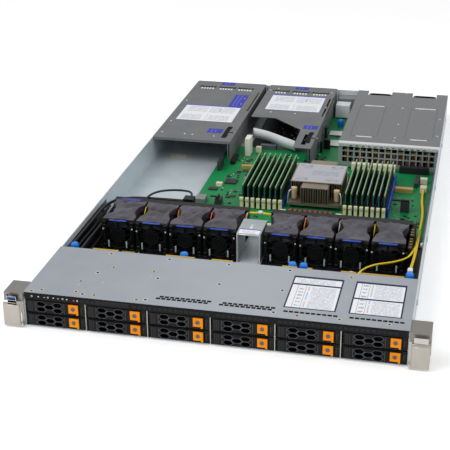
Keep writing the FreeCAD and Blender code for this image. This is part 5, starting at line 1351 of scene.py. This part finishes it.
# %% Coils behind the grille
COIL_PLACES = [75.2 + number * 20.5 for number in range(7)]
coils = [
    ring(x + 4.8, 569.2, 12.0 + step * 4.6, 4.0, 2.2, 1.6, sides=16, axis="y") for x in COIL_PLACES for step in range(4)
]
cans = [(x + 15.0, 569.6) for x in COIL_PLACES]
joined("power_coils", coils, "coil_orange", smooth=True)
joined("power_cans", [drum(*place, 6.6, 3.4, 22.0, sides=18, soften=0.6) for place in cans], "can_grey", smooth=True)
blocks("power_yellow", "can_yellow", 0.3, [(x + 0.2, 569.4, 28.0, 9.0, 1.4, 4.0) for x in COIL_PLACES])
print(f"{len(coils)} coil turns")

# %% [markdown]
# ## Power supplies
# Only their ends show, and the frame already has their inlets and handles. Added here
# are a round wire grille, a row of vents and a lamp. Each supply's pieces ride on its
# own body, so they slide out with it.

# %% Power supplies
SUPPLY_MIDDLE = {"left": 105.175, "right": 180.125}
SUPPLY_FACE = 807.9
for side, middle in SUPPLY_MIDDLE.items():
    body = f"supply_{side}"
    grille = [
        ring(middle + 14, SUPPLY_FACE, 20.5, radius, radius - 0.7, 0.6, sides=32, axis="y")
        for radius in (4.0, 7.6, 11.2, 14.8)
    ]
    grille.append(slabs([
        (middle - 0.6, SUPPLY_FACE, 20.1, 29.2, 0.6, 0.8), (middle + 13.6, SUPPLY_FACE, 5.8, 0.8, 0.6, 29.4),
    ], 0.1))
    joined(f"{body}_grille", grille, "screw_silver", body, smooth=True)
    glow = drum(middle + 30.5, SUPPLY_FACE - 0.1, 35.0, 1.2, 0.9, sides=12, axis="y", soften=0.2)
    joined(f"{body}_lamp", [glow], "symbol_white", body, smooth=True)
    # The vents are black slabs of painted shade.
    vents = [(middle - 30 + number * 3.2, SUPPLY_FACE, 34.0, 1.6, 0.5, 4.0) for number in range(6)]
    blocks(f"{body}_vents", "slot_black", 0.1, vents, body)
print(f"{len(SUPPLY_MIDDLE)} supplies dressed")

# %% [markdown]
# ## Walls and the bay beside the cage
# The side walls have pressed lines, rivets and the white hooks that hold the cables.
# Beside the cage, small brackets and a light plate stand on the board.

# %% Walls and small brackets
blocks("wall_hooks", "hook_white", 0.8, [
    (-217.2, 158, 20, 3.6, 6, 4.0), (-217.2, 284, 20, 3.6, 6, 4.0), (213.4, 232, 33.5, 3.8, 6, 4.0),
], smooth=True)
blocks("wall_pressed_lines", "screw_silver", 0.1, [
    (x, near, up, 0.4, far - near, 0.6)
    for x in (-218.9, 218.5) for near, far in ((130, 560), (580, 812)) for up in (9.5, 34.0)
])
WALL_RIVETS = [
    (150, 38), (330, 38), (420, 38), (520, 38), (600, 38), (690, 38), (790, 38), (220, 6), (560, 6), (740, 6),
]
wall_rivets = [
    drum(x, back, up, 1.6, 0.6, sides=14, axis="x", soften=0.25) for back, up in WALL_RIVETS for x in (218.5, -219.1)
]
joined("wall_rivets", wall_rivets, "screw_silver", smooth=True)
joined("beside_cage_plates", [
    slabs([(36, 640, 8.0, 28, 26, 0.8), (36, 690, 8.0, 28, 20, 0.8)], 0.2), slab(34, 780, 8.0, 24, 22, 22.0, 0.5),
], "light_plate")
joined("beside_cage_latch", [slab(33.0, 652, 8.0, 4.5, 14, 26, 0.8), slab(33.0, 606, 8.0, 3.5, 10, 18, 0.6)],
       "header_black")
blocks("floor_sticker", "sticker_cream", 0.05, [(-199, 556, 1.2, 26, 16, 0.15)])
print("walls dressed")

# %% [markdown]
# ## Cables and blocks at the ends of the fan row
# The gap between the left wall and the first fan is filled by a bundle of black cables.
# At the right end stands a tall black socket block, and two more yellow wires run down
# along the wall to a white plug beside the last knob.

# %% Ends of the fan row
BUNDLE = [(-212, 0, 24), (-207.5, 0, 18), (-202.5, 0, 11), (-211.5, 0, 10), (-203.5, 0, 26)]
wire("left_bundle", 2.1, [(0, 128, 0), (1.2, 172, 3), (-1.0, 232, -2.5), (0.6, 296, 2)], BUNDLE, 3, "cable_black")
wire("right_wall_wires", 0.9, [(208.6, 300, 24), (209.6, 240, 33.5), (208.4, 188, 35), (206.8, 158, 38)],
     ((0.9, 0, 0.4), (-0.9, 0, -0.4)), 3, "yellow_cable")
blocks("right_socket_block", "header_black", 0.7, [
    (198.3, 222, 4, 6.2, 30, 31), (198.3, 256, 4, 6.2, 32, 33), (199.0, 300, 8, 5.0, 12, 22),
])
blocks("right_block_contacts", "edge_gold", 0.1, [
    (199.6, 226 + number * 8.2, 37.0 if number > 3 else 35.0, 3.4, 1.2, 0.4) for number in range(7)
])
blocks("right_wall_plug", "tie_white", 0.8, [(203.8, 150.5, 33.0, 6.2, 7.5, 7.5)])
print(f"{len(BUNDLE)} cables in the left bundle")

# %% Finish
print("dressing finished")
